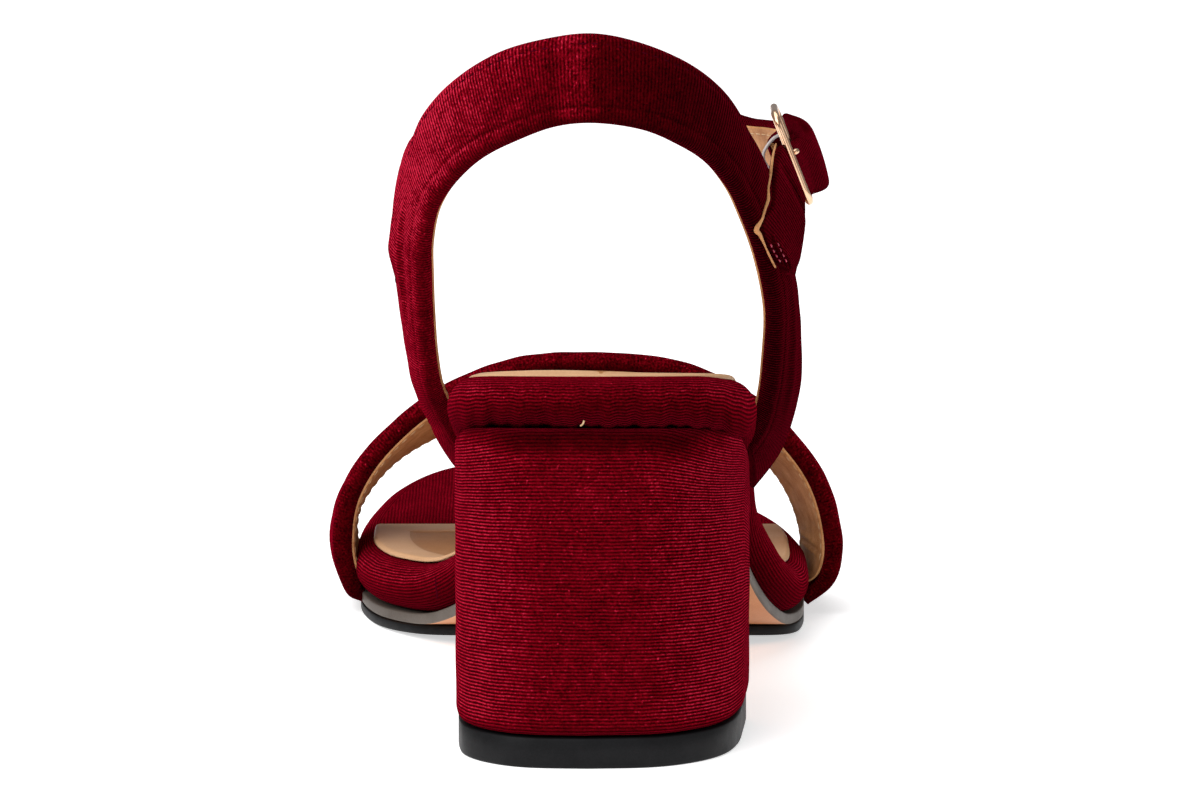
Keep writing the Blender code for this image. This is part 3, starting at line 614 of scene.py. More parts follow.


# Velvet with ribs across the cloth's second length. The side tones, when given, are its tone at the inner
# and at the outer side, a painted light-to-shade gradient; seam the heights below the rim between which
# painted shade darkens it.
def velvetFinish(name, ribShare, tone, paintedSideShade=None, seam=None):
    material, tree, shader = startFinish(name)
    place = addNode(tree, "ShaderNodeTexCoord").outputs["Object"]
    cloth = axes(tree, addNode(tree, "ShaderNodeUVMap", uv_map="cloth").outputs[0])
    wander = mathNode(tree, "SUBTRACT", noise(tree, place, *velvet["wander"]), 0.5)
    wander = mathNode(tree, "MULTIPLY", wander, velvet["ribWander"])
    phase = mathNode(tree, "DIVIDE", mathNode(tree, "ADD", cloth[1], wander), velvet["ribPitch"])
    wave = mathNode(tree, "COSINE", mathNode(tree, "MULTIPLY", phase, 2 * math.pi))
    rib = mathNode(tree, "POWER", mathNode(tree, "MULTIPLY_ADD", wave, 0.5, 0.5), velvet["ribPower"])
    # short tufts lie along each rib
    tuftPlace = addNode(tree, "ShaderNodeCombineXYZ", {
        axis: mathNode(tree, "MULTIPLY", cloth[axis], velvet["tufts"][axis]) for axis in (0, 1)}).outputs[0]
    tuft = noise(tree, tuftPlace, *velvet["tuft"])
    pile, patch, brushed, speck = (
        noise(tree, place, *velvet[key]) for key in ("pile", "patch", "brushed", "speck"))
    height = mathNode(tree, "MULTIPLY", rib, ribShare)
    shade = weightedSum(tree, *zip((height, tuft, patch, brushed, pile), velvet["shares"]))
    # a few tufts catch the light as bright specks
    specks = mapRange(tree, speck, *velvet["speckRange"])
    shade = mathNode(tree, "ADD", mathNode(tree, "SUBTRACT", shade, velvet["toneOff"]), specks)
    # painted rib highlight and shade: the ribs' light tops and dark valleys show more where the cloth turns
    # away sideways
    normal = axes(tree, addNode(tree, "ShaderNodeNewGeometry").outputs["Normal"])
    sideRibLight = mathNode(tree, "ABSOLUTE", normal[0])
    sideRibLight = mapRange(tree, sideRibLight, *velvet["sideRibLightRange"], ribShare * velvet["sideRibLightShare"])
    shade = mathNode(tree, "MULTIPLY_ADD", mathNode(tree, "SUBTRACT", rib, velvet["ribMiddle"]), sideRibLight, shade)
    acrossShoe, _, rise = axes(tree, place)
    if paintedSideShade is None:
        factors = [tone]
    else:
        # painted light and shade: lighter at the inner side, darker towards the outer side, and a painted
        # highlight along the fold at the middle of the heel
        foldHighlight = mathNode(tree, "ABSOLUTE", mathNode(tree, "SUBTRACT", acrossShoe, velvet["foldHighlightAt"]))
        factors = [mapRange(tree, acrossShoe, *velvet["sideShadeFrom"], tone * paintedSideShade[0], tone * paintedSideShade[1]),
                   mapRange(tree, foldHighlight, *velvet["foldHighlight"])]
    # painted shade: darker on whatever faces the floor
    factors.append(mapRange(tree, normal[2], *velvet["downShade"]))
    if seam is not None:
        # painted shade under the rim, darker as the heel cover rises to the seam, with an uneven edge
        uneven = mathNode(tree, "SUBTRACT", patch, 0.5)
        rise = mathNode(tree, "MULTIPLY_ADD", uneven, velvet["seamShadeWander"], rise)
        factors.append(mapRange(tree, rise, *seam, *velvet["seamShade"]))
    for factor in factors:
        shade = mathNode(tree, "MULTIPLY", shade, factor)
    fine = weightedSum(tree, *zip((tuft, pile), velvet["fineShares"]))
    setInputs(tree, shader, {
        "Base Color": ramp(tree, shade, velvet["tones"]),
        "Roughness": mapRange(tree, tuft, *velvet["roughness"]),
        "Specular IOR Level": 0.0,
        "Sheen Weight": velvet["sheen"],
        "Sheen Roughness": velvet["sheenRoughness"],
        "Sheen Tint": velvet["sheenTint"],
        "Normal": bump(tree, fine, 0.9, velvet["pileDepth"], bump(tree, height, 1.0, velvet["ribDepth"])),
    })
    return material


# patch, speck and pore noises, and how much of each
hide = {
    "patch": (5, 0.6),
    "speck": (2600, 2, 0.6),
    "pore": (2.3, 3, 0.6),  # scale as a multiple of the grain
    "shares": (0.75, 0.35),
    "poreShare": 0.6,
    "poreDepth": 0.25,
    "bump": 0.7,
}


def leatherFinish(name, dark, light, roughness, grain, depth, patchScale, specular):
    material, tree, shader = startFinish(name)
    place = addNode(tree, "ShaderNodeTexCoord").outputs["Object"]
    patch = noise(tree, place, patchScale, *hide["patch"])
    speck = noise(tree, place, *hide["speck"])
    mixed = weightedSum(tree, *zip((patch, speck), hide["shares"]))
    cells = addNode(tree, "ShaderNodeTexVoronoi", {"Vector": place, "Scale": grain},
                    feature="DISTANCE_TO_EDGE").outputs[0]
    cells = mathNode(tree, "MINIMUM", cells, hide["poreDepth"])
    pores = noise(tree, place, grain * hide["pore"][0], *hide["pore"][1:])
    pores = mathNode(tree, "MULTIPLY_ADD", pores, hide["poreShare"], cells)
    setInputs(tree, shader, {
        "Base Color": ramp(tree, mixed, ((0.30, dark), (0.72, light))),
        "Roughness": mapRange(tree, patch, 0.3, 0.7, roughness + 0.08, roughness - 0.06),
        "Specular IOR Level": specular,
        "Normal": bump(tree, pores, hide["bump"], depth),
    })
    return material


# rib share, tone, side tones, seam. The tone differs between pieces of the one velvet as painted light and
# shade; the tab's low tone is painted shade
heelVelvet = velvetFinish("heelVelvet", 1.0, 1.12, seam=(0.0545, 0.0585))
bedVelvet = velvetFinish("bedVelvet", 1.0, 0.82)
strapVelvet = velvetFinish("strapVelvet", 0.15, 1.28)
slingVelvet = velvetFinish("slingVelvet", 0.60, 0.96, (1.85, 0.30))
shadedTabVelvet = velvetFinish("shadedTabVelvet", 0.4, 0.36)

leathers = {
    # dark, light, roughness, grain, depth, patch scale, specular
    "tanLining": ((0.30, 0.118, 0.040), (0.61, 0.300, 0.120), 0.50, 1300, 0.00016, 220, 0.2),
    # the sock's lighter beige border is partly its own colour and partly a painted highlight on the raised
    # border
    "beigeSockAndSheen": ((0.46, 0.250, 0.125), (0.62, 0.375, 0.210), 0.40, 1700, 0.00005, 45, 0.1),
    "tanSockInner": ((0.32, 0.135, 0.045), (0.46, 0.225, 0.090), 0.40, 1700, 0.00005, 45, 0.1),
    "soleTan": ((0.40, 0.145, 0.055), (0.56, 0.250, 0.115), 0.45, 900, 0.00004, 35, 0.2),
    # the sole's dark edge paint, lightened to grey as a painted reflection
    "soleEdgeAndSheen": ((0.066, 0.052, 0.042), (0.122, 0.098, 0.080), 0.50, 1400, 0.00004, 90, 0.2),
    "blackRubber": ((0.003, 0.003, 0.0035), (0.009, 0.009, 0.010), 0.50, 1900, 0.00003, 140, 0.12),
    "burgundyThread": ((0.02, 0.0003, 0.002), (0.07, 0.0012, 0.008), 0.70, 4000, 0.00003, 300, 0.0),
    # bright thread whose colour is partly a painted highlight for the glints on the tab's wrinkles
    "threadAndGlint": ((0.16, 0.003, 0.014), (0.40, 0.022, 0.060), 0.28, 3000, 0.00003, 900, 0.4),
    "tanThread": ((0.42, 0.26, 0.13), (0.62, 0.42, 0.24), 0.60, 4000, 0.00003, 300, 0.4),
    "clearPlastic": ((0.40, 0.36, 0.35), (0.55, 0.50, 0.49), 0.25, 900, 0.00002, 60, 0.4),
}
leather = {name: leatherFinish(name, *values) for name, values in leathers.items()}


def roseGoldFinish():
    material, tree, shader = startFinish("roseGold")
    place = addNode(tree, "ShaderNodeTexCoord").outputs["Object"]
    haze = noise(tree, place, 700, 4, 0.6)
    setInputs(tree, shader, {
        "Base Color": ramp(tree, haze, ((0.3, (0.70, 0.40, 0.24)), (0.7, (0.86, 0.57, 0.38)))),
        "Metallic": 1.0,
        "Roughness": mapRange(tree, haze, 0.3, 0.7, 0.12, 0.24),
        "Normal": bump(tree, noise(tree, place, 1500, 2, 0.6), 0.12, 0.00002),
    })
    return material


roseGold = roseGoldFinish()
print("finishes made")

heel = {
    "liftHeight": 0.0054,
    # inset past liftInset and height of the lift's levels
    "liftInset": 0.0005,
    "liftLevels": ((0.00044, 0.0), (0.000132, 0.000132), (0.0, 0.00044), (0.0, 0.0030), (0.0, 0.0052),
                   (0.0002, 0.0054)),
    # inset and height above the lift of the cover's turned-in foot
    "coverFoot": ((0.0022, 0.0), (0.0013, 0.0001), (0.0006, 0.0005), (0.0002, 0.0010), (0.0, 0.0017)),
    "wallFoot": 0.0010,
    "wallShares": (0.04, 1.0, 44),
    "tuck": 0.0026,
    "tuckDegrees": (20, 40, 60, 75, 90),
    "tuckInset": 0.9,
    "seatGap": 0.00005,
    "cornerRound": 0.0010,
    "around": 520,
    "frontCount": 60,
    "shrink": (0.9, 0.6, 0.3, 0.05),
    "puff": 0.00010,
    "pull": 0.0050,
    "innerPull": 0.4,
    # where the pull begins and how far it grows: upwards, outwards and inwards
    "pullUp": (0.040, 0.018),
    "pullOut": (0.008, 0.020),
    "pullIn": (0.012, 0.016),
}


# The heel's outline moved inwards, as an even closed loop whose corners are softened
# by a circular average.
def heelLoop(inset):
    table = smoothRows(heelOutline)
    size = (shoe["heelWidth"], shoe["heelDepth"])
    inner, outer = table[:, 0:2] * size, table[:, 2:4] * size
    front = np.linspace(inner[-1], outer[-1], heel["frontCount"])[1:-1]
    loop = np.vstack([inner, front, outer[:0:-1], inner[:1]])
    run = lengthsAlong(loop)
    count = heel["around"]
    at = np.linspace(0, run[-1], count, endpoint=False)
    even = sample(at, run, loop)
    offsets = (np.arange(count) + count // 2) % count - count // 2
    weights = np.exp(-0.5 * (offsets * (run[-1] / count) / heel["cornerRound"]) ** 2)
    weights /= weights.sum()
    even = np.real(np.fft.ifft(np.fft.fft(even, axis=0) * np.fft.fft(weights)[:, None], axis=0))
    normal = inwardWay(even)
    return even + normal * inset, at, normal


# A block on that loop. Each level has an inset and a height; the top and the bottom
# are closed by rings that shrink towards the middle.
def heelBlock(name, levels, material, puff=None, pull=None):
    middle = np.array((0.0, shoe["heelDepth"] / 2))
    points = []
    shares = [(0, share) for share in heel["shrink"][::-1]]
    shares += [(k, 1.0) for k in range(len(levels))] + [(-1, share) for share in heel["shrink"]]
    for k, share in shares:
        inset, height = levels[k]
        ring, at, normal = heelLoop(inset)
        if share < 1:
            ring = middle + (ring - middle) * share
        z = height(ring[:, 1])
        if puff is not None and share == 1:
            ring = ring - normal * puff(at, z)[:, None]
        points.append(np.column_stack([ring, z]))
    rings = np.array(points)
    rows, size = rings.shape[:2]
    quads, cloth = tubeFaces(np.append(at, at[-1] + at[1]), lengthsAlong(rings[:, 0]))
    flatPoints = rings.reshape(-1, 3)
    if pull is not None:
        cloth[..., 1] += pull(flatPoints[quads])
    # small discs close both middles
    half = np.arange(size // 2)
    disc = np.stack([half, half + 1, (size - 1 - half) % size, (size - half) % size], axis=1)
    discs = np.vstack([disc, disc[:, ::-1] + (rows - 1) * size])
    cloth = np.vstack([cloth, flatPoints[discs][..., [0, 1]]])
    return putMesh(name, flatPoints, np.vstack([quads, discs]), cloth, [material])


foot = heel["liftHeight"] + shoe["gap"]


def flatAt(height):
    return lambda along: np.full_like(along, height)


def heelSeat(along):
    return underside(along) - heel["seatGap"]


def wallAt(share):
    low = foot + heel["wallFoot"]
    return lambda along: low + (heelSeat(along) - heel["tuck"] - low) * share


def tuckAt(turn):
    return lambda along: heelSeat(along) - heel["tuck"] * (1 - math.sin(turn))


def coverPuff(at, z):
    # the cloth stands a little proud here and there
    return heel["puff"] * np.sin(at * 150 + z * 260) * np.sin(z * 190 + at * 47 + 1.0)


# The ribs are pulled down where the cloth turns the upper corners: the cloth length
# grows with a smooth step towards the corner, more so near the top.
def cornerPull(corners):
    x, z = corners[..., 0], corners[..., 2]
    return (heel["pull"] * rising(z, *heel["pullUp"])
            * (rising(x, *heel["pullOut"]) + heel["innerPull"] * rising(-x, *heel["pullIn"])))


coverLevels = [(inset, flatAt(foot + rise)) for inset, rise in heel["coverFoot"]]
coverLevels += [(0.0, wallAt(share)) for share in np.linspace(*heel["wallShares"])]
coverLevels += [(heel["tuck"] * heel["tuckInset"] * (1 - math.cos(turn)), tuckAt(turn))
                for turn in map(math.radians, heel["tuckDegrees"])]
heelCover = heelBlock("heel_cover", coverLevels, heelVelvet, coverPuff, cornerPull)
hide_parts("heel_block")
liftLevels = [(heel["liftInset"] + inset, flatAt(height)) for inset, height in heel["liftLevels"]]
heelLift = heelBlock("heel_lift", liftLevels, leather["blackRubber"])
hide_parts("heel_top_piece")
print("heel made")

bed = {
    "thickness": 0.0090,
    # stations along and cells across
    "bedGrid": (260, 30),
    "sockGrid": (240, 90),
    "soleGrid": (200, 12),
    "sockThickness": 0.0009,
    "sockRound": 0.0009,
    "sockInset": 0.0036,
    "sockLength": 0.1575,
    "sockBorder": 0.0070,
    "sockSink": 0.0003,
    "sinkWidth": 0.0016,
    # the roll's droop: where it ends forwards, begins outwards and inwards, and how far
    "rear": (0.014, 0.022),
    "outerCorner": (0.016, 0.012),
    "innerCorner": (0.017, 0.010),
    "cornerDrop": 0.0010,
    "outerDroop": 0.0026,
    "innerDroop": 0.0012,
    "pucker": 0.0004,
    "seatSink": 0.0008,
    "seatEnd": (0.030, 0.040),
    "seatDome": (-0.0075, 0.0130, 0.0006),  # middle across, half width, rise
    "domeEnd": (0.020, 0.030),
    "outsole": 0.0020,
    "rubber": 0.0018,
    # inset, and height above the layer's foot or depth below its top
    "outsoleFoot": ((0.0003, 0.0), (0.00005, 0.0001), (0.0, 0.0003)),
    "outsoleTop": ((0.0, 0.0003), (0.0001, 0.0001), (0.0003, 0.0)),
    "rubberFoot": ((0.0004, 0.0), (0.0001, 0.0001), (0.0, 0.0004)),
    "rubberTop": ((0.0, 0.0002), (0.0002, 0.0)),
}


def bedAt(lift):
    return lambda along: underside(along) + lift * steepness(along)


# The roll hangs down over the heel's corners, more at the outer one, and puckers a
# little along its seam: both grow from nothing at the roll's top to full at its foot.
def rollDroop(points):
    x, along, z = points.T
    low = 1 - np.clip((z - underside(along)) / (bed["thickness"] * steepness(along)), 0, 1)
    rear = 1 - rising(along, *bed["rear"])
    outer, inner = rising(x, *bed["outerCorner"]), rising(-x, *bed["innerCorner"])
    drop = outer * (bed["cornerDrop"] + bed["outerDroop"] * low) + inner * bed["innerDroop"] * low
    pucker = bed["pucker"] * np.sin(x * 620 + 1.0) * np.sin(x * 1430) * low
    return points - np.column_stack([0 * x, pucker * rear, (drop + pucker) * rear])


half = bed["thickness"] / 2
bedLevels = [(half * (1 - math.cos(turn)), bedAt(half * (1 + math.sin(turn))))
             for turn in np.radians(np.linspace(-90, 90, 25))]
footbed = plate("footbed_cover", footbedOutline, bedLevels, -1.0, 1.0, *bed["bedGrid"], [bedVelvet],
                warp=rollDroop)
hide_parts("footbed")


def sockHeight(lift):
    # the sock beds into the heel seat and stands full height further forward
    return lambda along: (underside(along) + steepness(along) * (
        bed["thickness"] + shoe["gap"] + lift - bed["seatSink"] * (1 - rising(along, *bed["seatEnd"]))))


sockLeft, sockRight = pairedEdges(footbedOutline, bed["sockInset"], -1.0, 1.0, 200)


def sockInwards(x, along):
    # distance from the sock's edge
    inner, outer = (np.interp(along, side[:, 1], side[:, 0]) for side in (sockLeft, sockRight))
    return np.minimum(np.minimum(x - inner, outer - x), bed["sockLength"] - along)


# The pad's middle is a softly sunk island that keeps the border's width from the edge;
# the seat swells a little at its middle.
def sockPad(x, along):
    domeAt, domeWidth, domeRise = bed["seatDome"]
    dome = domeRise * np.exp(-((x - domeAt) / domeWidth) ** 2) * (1 - rising(along, *bed["domeEnd"]))
    island = softStep((sockInwards(x, along) - bed["sockBorder"]) / bed["sinkWidth"] + 0.5)
    return dome - bed["sockSink"] * island


# the border takes the lighter beige, partly the sock's colour and partly a painted highlight; the sunk island
# takes the tan
def sockPatch(groups, middles):
    island = sockInwards(middles[:, 0], middles[:, 1]) > bed["sockBorder"]
    return np.where((groups == 2) & island, 1, 0)


sockLevels = [(bed["sockInset"] + bed["sockRound"] * (1 - math.cos(turn)),
               sockHeight(bed["sockThickness"] * math.sin(turn)))
              for turn in np.radians(np.linspace(0, 90, 7))]
sock = plate("sock_pad", footbedOutline, sockLevels, -1.0, bed["sockLength"], *bed["sockGrid"],
             [leather["beigeSockAndSheen"], leather["tanSockInner"]], sockPatch, sockPad)
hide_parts("insole_sock")


# Levels of a layer under the footbed whose top lies a depth below it.
def layerLevels(top, thickness, footRows, topRows):
    return ([(inset, bedAt(rise - top - thickness)) for inset, rise in footRows]
            + [(inset, bedAt(-top - depth)) for inset, depth in topRows])


gap = shoe["gap"]
outsoleLevels = layerLevels(gap, bed["outsole"], bed["outsoleFoot"], bed["outsoleTop"])
# the waist sole's sides and top take the edge finish: dark edge paint lightened to grey as a painted
# reflection
outsole = plate("waist_sole", soleOutline, outsoleLevels, shoe["heelDepth"] + gap, 1.0, *bed["soleGrid"],
                [leather["soleTan"], leather["soleEdgeAndSheen"]],
                lambda groups, middles: np.where(groups == 1, 0, 1))
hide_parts("outsole")
rubberLevels = layerLevels(2 * gap + bed["outsole"], bed["rubber"], bed["rubberFoot"], bed["rubberTop"])
rubber = plate("forepart_sole", rubberOutline, rubberLevels, -1.0, 1.0, *bed["soleGrid"],
               [leather["blackRubber"]])
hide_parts("forepart_rubber")
print("footbed and sole made")

toe = {
    "thickness": 0.0036,
    "crown": 0.0009,
    "ripple": 0.00005,
    "liningInset": 0.0012,
    "core": (0.67, 0.3),
    "creases": (
        # row, across, row, across, half width, height
        (1.6, 0.20, 2.4, -0.10, 0.0011, 0.00025),
        (2.9, 0.22, 3.6, -0.15, 0.0014, -0.00025),
        (12.0, 0.20, 11.6, -0.15, 0.0012, 0.00028),
        (12.7, 0.20, 12.2, -0.10, 0.0010, -0.00028),
        (10.6, 0.20, 10.2, -0.20, 0.0016, -0.00022),
    ),
    "liningCreases": (
        (11.9, -0.45, 12.1, 0.45, 0.0006, 0.00055),
        (12.3, -0.42, 12.4, 0.42, 0.0005, 0.00050),
        (11.5, -0.30, 11.7, 0.45, 0.0006, -0.00016),
        (12.1, -0.42, 12.3, 0.42, 0.0004, -0.00016),
        (10.5, 0.40, 10.9, -0.30, 0.0010, -0.00020),
        (2.6, 0.40, 3.1, -0.30, 0.0009, 0.00022),
        (4.4, 0.35, 4.7, -0.35, 0.0012, -0.00020),
    ),
}
# sunk is the share of a lining's thickness that lies in its strap
lining = {"thickness": 0.0006, "sunk": 0.45}
stationStep = 0.0008


def strapLining(name, line, thickness, inset, creases=(), **more):
    return strapBody(name, line, lining["thickness"], leather["tanLining"], 0.0, creases,
                     depthFrom=thickness - lining["thickness"] * lining["sunk"], inset=inset, **more)


toeSizes = np.array((shoe["ballWidth"], shoe["length"], shoe["toeCrown"]))
toeLine = strapLine(toeStrapRows, toeSizes, (0, *(toeSizes[1:] * toe["core"])), stationStep)
toeStrap = strapBody("toe_strap_velvet", toeLine, toe["thickness"], strapVelvet, toe["crown"], toe["creases"],
                     faceCount=48, ripple=toe["ripple"])
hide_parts("toe_strap")
toeLining = strapLining("toe_strap_lining", toeLine, toe["thickness"], toe["liningInset"],
                        toe["liningCreases"], faceCount=20, underCount=40, creaseUnder=True)
print("toe strap made")

ankle = {
    "slingThickness": 0.0030,
    "slingCrown": 0.0006,
    "frontThickness": 0.0024,
    "frontCrown": 0.0005,
    "tabThickness": 0.0018,
    "tabCrown": 0.0004,
    "tabLift": 0.0007,
    "tabRound": 0.0012,
    "liningInset": 0.0009,
    "core": (0.25, 0.7),
    # distance from an edge, half width, height
    "grooves": ((0.0016, 0.00035, -0.00022), (-0.0030, 0.00035, -0.00018)),
    "slingCreases": (
        # row, across, row, across, half width, height
        (3.8, 0.02, 6.4, 0.06, 0.0009, 0.00040),
        (3.8, -0.10, 6.4, -0.06, 0.0013, -0.00030),
        (5.0, 0.50, 5.0, 0.10, 0.0022, 0.00045),
        (4.3, 0.48, 4.5, 0.15, 0.0018, -0.00025),
        (7.2, 0.30, 7.9, -0.25, 0.0022, -0.00025),
        (11.4, 0.48, 11.4, -0.48, 0.0014, 0.00022),
        (11.8, 0.45, 11.8, -0.45, 0.0009, -0.00018),
        (12.3, 0.42, 12.4, -0.42, 0.0012, 0.00014),
        (15.8, 0.40, 16.4, -0.30, 0.0020, -0.00025),
        (19.0, 0.04, 22.4, 0.02, 0.0018, 0.00026),
        (19.0, -0.12, 22.4, -0.14, 0.0022, -0.00020),
        (22.9, 0.40, 23.2, -0.35, 0.0016, -0.00030),
        (1.4, 0.40, 1.1, -0.35, 0.0016, -0.00030),
    ),
    "frontCreases": (
        (1.2, 0.40, 1.6, -0.30, 0.0016, -0.00020),
        (4.5, 0.35, 5.0, -0.35, 0.0018, -0.00018),
        (8.6, 0.40, 8.8, -0.30, 0.0012, 0.00025),
    ),
    "tabCreases": (
        (0.20, -0.30, 1.10, -0.22, 0.00045, 0.00060),
        (0.15, -0.10, 1.05, -0.04, 0.00045, 0.00055),
        (0.20, 0.10, 0.95, 0.14, 0.00045, 0.00045),
        (3.3, 0.45, 3.5, -0.45, 0.0007, -0.00030),
    ),
}
slingSizes = np.array((shoe["slingSpan"], shoe["length"], shoe["slingTop"]))
slingCore = (0, *(slingSizes[1:] * ankle["core"]))
slingLine = strapLine(slingRows, slingSizes, slingCore, stationStep)
sling = strapBody("sling_velvet", slingLine, ankle["slingThickness"], slingVelvet, ankle["slingCrown"],
                  ankle["slingCreases"], ankle["grooves"], faceCount=52, ripple=0.00004)
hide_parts("ankle_strap")
strapLining("sling_lining", slingLine, ankle["slingThickness"], ankle["liningInset"])
frontLine = strapLine(frontStrapRows, slingSizes, slingCore, stationStep)
front = strapBody("front_strap_velvet", frontLine, ankle["frontThickness"], slingVelvet, ankle["frontCrown"],
                  ankle["frontCreases"], ankle["grooves"][:1], faceCount=44, ripple=0.00003)
strapLining("front_strap_lining", frontLine, ankle["frontThickness"], ankle["liningInset"])
tabLine = strapLine(tabRows, slingSizes, slingCore, 0.0005)
tab = strapBody("buckle_tab", tabLine, ankle["tabThickness"], shadedTabVelvet, ankle["tabCrown"],
                ankle["tabCreases"], faceCount=36, depthFrom=-ankle["tabLift"], endRound=ankle["tabRound"])
print("ankle straps made")

buckle = {
    "length": 0.0130,
    "height": 0.0167,
    "wire": 0.0014,
    "corner": 0.0024,
    "lean": 21.6,
    "place": (0.03348, 0.03727, 0.10172),  # middle of the rear bar, along in the middle
    "prong": 0.0010,
    "prongAbove": 0.0009,
    # along as a share of the length, and height as a share of that over the bar
    "prongRows": ((0.44, 0.0), (0.34, 0.15), (0.20, 0.40), (0.1, 0.75), (0.0007 / 0.0130, 0.30)),
}
lean = math.radians(buckle["lean"])
downWay = np.array((math.sin(lean), 0.0, -math.cos(lean)))
outWay = np.array((math.cos(lean), 0.0, math.sin(lean)))


def bucklePlace(forward, down, out):
    return (buckle["place"] + np.outer(forward, (0, 1, 0)) + np.outer(down, downWay)
            + np.outer(out, outWay))


# A rectangle with round corners, walked corner by corner.
def frameLoop():
    corner, half = buckle["corner"], buckle["height"] / 2
    front, side = buckle["length"] - corner, half - corner
    parts = []
    for k, middle in enumerate(((front, side), (corner, side), (corner, -side), (front, -side))):
        angle = np.radians(np.linspace(90 * k, 90 * k + 90, 10))
        parts.append(middle + corner * np.stack([np.cos(angle), np.sin(angle)], axis=1))
    loop = np.vstack([*parts, parts[0][:1]])
    loop = evenPath(loop, 0.0004)[:-1]
    return bucklePlace(loop[:, 0], loop[:, 1], np.zeros(len(loop)))


buckleFrame = wire("buckle_wire", frameLoop(), buckle["wire"] / 2, 20, roseGold, closed=True)
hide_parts("buckle_frame")
overBar = buckle["wire"] / 2 + gap + buckle["prong"] / 2
prongCurve = smoothRows(np.array(buckle["prongRows"]) * (buckle["length"], overBar), 10)
prongPath = bucklePlace(prongCurve[:, 0], np.full(len(prongCurve), -buckle["prongAbove"]), prongCurve[:, 1])
ends = np.minimum(np.arange(len(prongPath)), np.arange(len(prongPath))[::-1])
prongTaper = np.sqrt(np.clip((ends + 0.4) / 3, 0.15, 1))
prong = wire("buckle_pin", prongPath, buckle["prong"] / 2, 16, roseGold, taper=prongTaper)
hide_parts("buckle_prong")
print("buckle made")

thin = {
    # across, along, up, thickness share: the tab's raw edge shows its backing as an
    # uneven beige line
    "rawEdge": (
        (0.0305, 0.0340, 0.1049, 0.5), (0.0299, 0.0308, 0.1032, 0.7), (0.0294, 0.0282, 0.1001, 0.9),
        (0.02905, 0.0261, 0.0983, 0.7), (0.0290, 0.0250, 0.0964, 1.0), (0.0284, 0.0234, 0.0948, 0.8),
        (0.0279, 0.0222, 0.0933, 0.8), (0.0269, 0.0213, 0.0916, 1.6), (0.0275, 0.0220, 0.0906, 1.2),
        (0.0284, 0.0232, 0.0885, 0.6), (0.0292, 0.0243, 0.0866, 0.7), (0.0303, 0.0262, 0.0842, 0.6),
    ),
    "rawRadius": 0.00030,
    # the rest have across, along, up
    "clearLoop": ((0.0318, 0.0425, 0.1056), (0.0299, 0.0410, 0.1046), (0.0284, 0.0400, 0.1022),
                  (0.0291, 0.0395, 0.1001), (0.0309, 0.0390, 0.0988)),
    "clearRadius": 0.00030,
    # two short rows of shiny thread pull wrinkles into the tab's lower end; their bright colour is a painted
    # highlight standing for the glints on those wrinkles
    "tabRear": ((0.02931, 0.02392, 0.08883), (0.02986, 0.02485, 0.08746), (0.03059, 0.02609, 0.08603),
                (0.03131, 0.02724, 0.08480)),
    "tabFront": ((0.03058, 0.02632, 0.08865), (0.03113, 0.02708, 0.08730), (0.03184, 0.02773, 0.08579),
                 (0.03239, 0.02847, 0.08461)),
    "tabOutward": (0.50, -0.86, 0.10),
    "tabPitch": 0.0012,
    "tabRadius": 0.00017,
    # the cover's short seam at the inner side of the rim
    "rimSeam": ((-0.03073, 0.10549, 0.01390), (-0.03073, 0.10561, 0.01256), (-0.03056, 0.10601, 0.01116),
                (-0.03058, 0.10701, 0.00984)),
    "rimRadius": 0.00017,
    # a loose thread end at the seam over the heel
    "threadEnd": ((-0.0037, -0.0002, 0.0606), (-0.0033, -0.0006, 0.0610), (-0.0031, -0.0007, 0.0616)),
    "threadRadius": 0.00016,
}
rawCurve = smoothRows(thin["rawEdge"], 8)
rawLine = wire("tab_raw_edge", rawCurve[:, 0:3], thin["rawRadius"], 10, leather["tanLining"],
               taper=rawCurve[:, 3])
clearLoop = wire("clear_loop", smoothRows(thin["clearLoop"], 10), thin["clearRadius"], 12,
                 leather["clearPlastic"])
for label, rows in (("rear", thin["tabRear"]), ("front", thin["tabFront"])):
    path = smoothRows(rows, 10)
    outward = np.tile(thin["tabOutward"], (len(path), 1))
    stitches(f"tab_stitches_{label}", path, outward, thin["tabPitch"], thin["tabRadius"],
                     leather["threadAndGlint"])
rimSeam = wire("rim_seam", smoothRows(thin["rimSeam"], 6), thin["rimRadius"], 8, leather["burgundyThread"])
threadEnd = wire("thread_end", smoothRows(thin["threadEnd"], 6), thin["threadRadius"], 8,
                 leather["tanThread"])

sew = {
    "pitch": 0.0022,
    "face": 0.00008,
    # radius and finish of the thread on the face and on the lining
    "velvet": (0.00014, leather["burgundyThread"]),
    "lining": (0.00013, leather["tanThread"]),
}
# depth of a lining's open face below the strap's
slingBack, toeBack, frontBack = (thickness + lining["thickness"] * (1 - lining["sunk"]) for thickness in (
    ankle["slingThickness"], toe["thickness"], ankle["frontThickness"]))
seams = (
    # piece, strap, distance from an edge, depth, share left free at each end, slot
    ("sling_stitches_upper", slingLine, 0.0016, sew["face"], 0.05, "velvet"),
    ("sling_stitches_lower", slingLine, -0.0030, sew["face"], 0.05, "velvet"),
    ("sling_lining_stitches_front", slingLine, 0.0022, slingBack, 0.05, "lining"),
    ("toe_lining_stitches_front", toeLine, 0.0022, toeBack, 0.06, "lining"),
    ("sling_lining_stitches_rear", slingLine, -0.0022, slingBack, 0.05, "lining"),
    ("toe_lining_stitches_rear", toeLine, -0.0022, toeBack, 0.06, "lining"),
    ("front_strap_stitches", frontLine, 0.0022, frontBack, 0.03, "lining"),
)
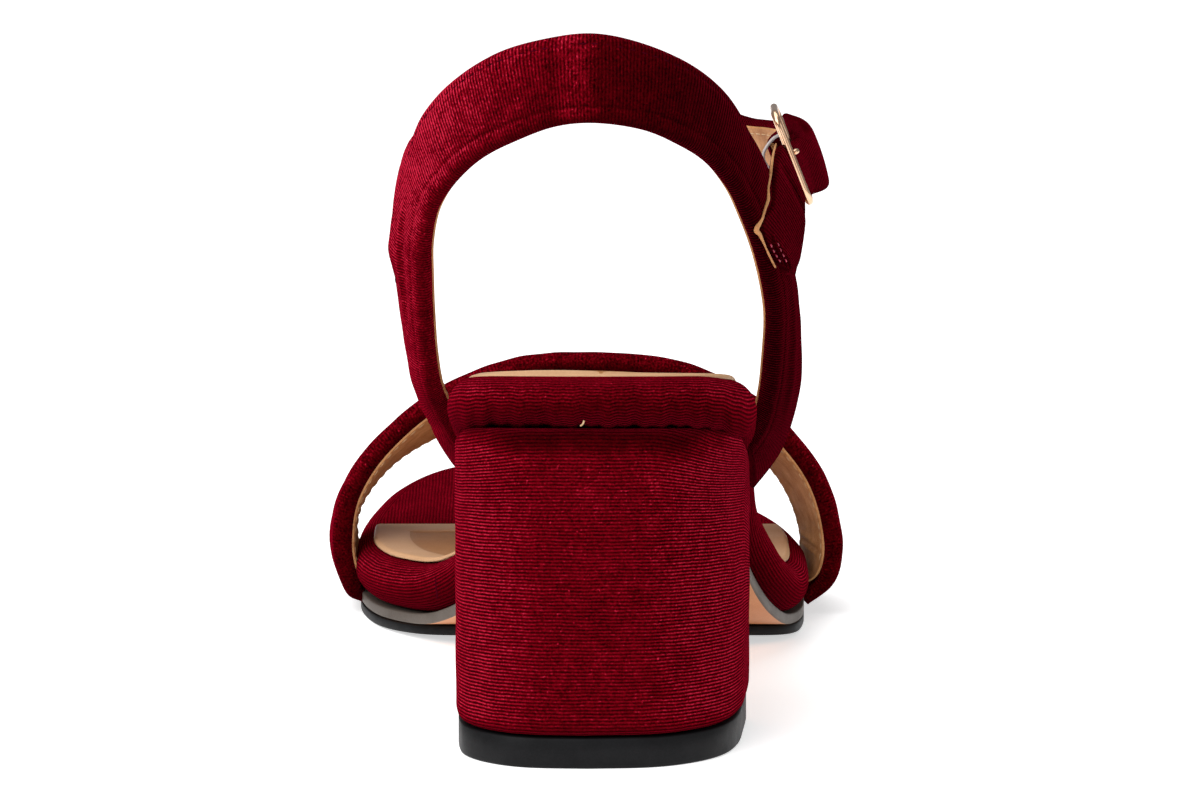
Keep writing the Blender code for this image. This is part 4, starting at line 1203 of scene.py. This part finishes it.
for name, line, fromEdge, depth, share, slot in seams:
    place = edgePlace(line["width"], fromEdge)[:, None]
    path = line["middle"] + place * line["across"] + depth * line["inward"]
    part = slice(int(share * len(path)), int((1 - share) * len(path)))
    outward = line["inward"][part] * (-1 if slot == "velvet" else 1)
    stitches(name, path[part], outward, sew["pitch"], *sew[slot])
print("stitching made")

studio = {
    "floor": (0.95, 0.95, 0.95, 1),
    "floorGlow": 0.56,
    "world": 0.28,
    # place, aim, size, power
    "lamps": {
        "key_light": ((-0.80, -0.85, 1.15), (0, 0.02, 0.06), 1.5, 22.0),
        "fill_light": ((0.9, -0.6, 0.5), (0, 0.05, 0.06), 0.6, 1.0),
        "top_light": ((-0.2, 0.2, 1.3), (0, 0.08, 0.0), 1.2, 9.0),
    },
    "lens": 259.2,
    "cameraPlace": (-0.00035, -1.48922, 0.31187),
    "cameraTilt": 80.452,
}
floorMesh = bpy.data.meshes.new("studio_floor")
floorMesh.from_pydata([(-8, -6, 0), (8, -6, 0), (8, 12, 0), (-8, 12, 0)], [], [(0, 1, 2, 3)])
floor = bpy.data.objects.new("studio_floor", floorMesh)
bpy.context.scene.collection.objects.link(floor)
floorFinish, floorTree, floorShader = startFinish("paleFloor")
setInputs(floorTree, floorShader, {
    "Base Color": studio["floor"], "Roughness": 0.9, "Specular IOR Level": 0.1,
    "Emission Color": (1, 1, 1, 1), "Emission Strength": studio["floorGlow"]})
floorMesh.materials.append(floorFinish)

world = bpy.data.worlds.new("studio")
bpy.context.scene.world = world
world.use_nodes = True
setInputs(world.node_tree, world.node_tree.nodes["Background"], {0: (1, 1, 1, 1), 1: studio["world"]})


def addLamp(name, place, aim, size, power):
    lamp = bpy.data.lights.new(name, "AREA")
    lamp.shape = "RECTANGLE"
    lamp.size = lamp.size_y = size
    lamp.energy = power
    holder = bpy.data.objects.new(name, lamp)
    bpy.context.scene.collection.objects.link(holder)
    way = np.array(aim) - np.array(place)
    holder.location = place
    holder.rotation_euler = (math.atan2(math.hypot(way[0], way[1]), -way[2]), 0, math.atan2(-way[0], way[1]))


for name, values in studio["lamps"].items():
    addLamp(name, *values)

bpy.context.scene.view_settings.view_transform = "Standard"
camera = bpy.data.cameras.new("camera")
camera.sensor_fit = "HORIZONTAL"
camera.sensor_width = 36
camera.lens = studio["lens"]
camera.clip_start = 0.05
camera.clip_end = 50
viewer = bpy.data.objects.new("camera", camera)
viewer.location = studio["cameraPlace"]
viewer.rotation_euler = (math.radians(studio["cameraTilt"]), 0, 0)
bpy.context.scene.collection.objects.link(viewer)
bpy.context.scene.camera = viewer
print("floor, lights and camera made")

faces = sum(len(o.data.polygons) for o in bpy.data.objects if o.type == "MESH" and "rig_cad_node" not in o)
print("faces added:", faces)
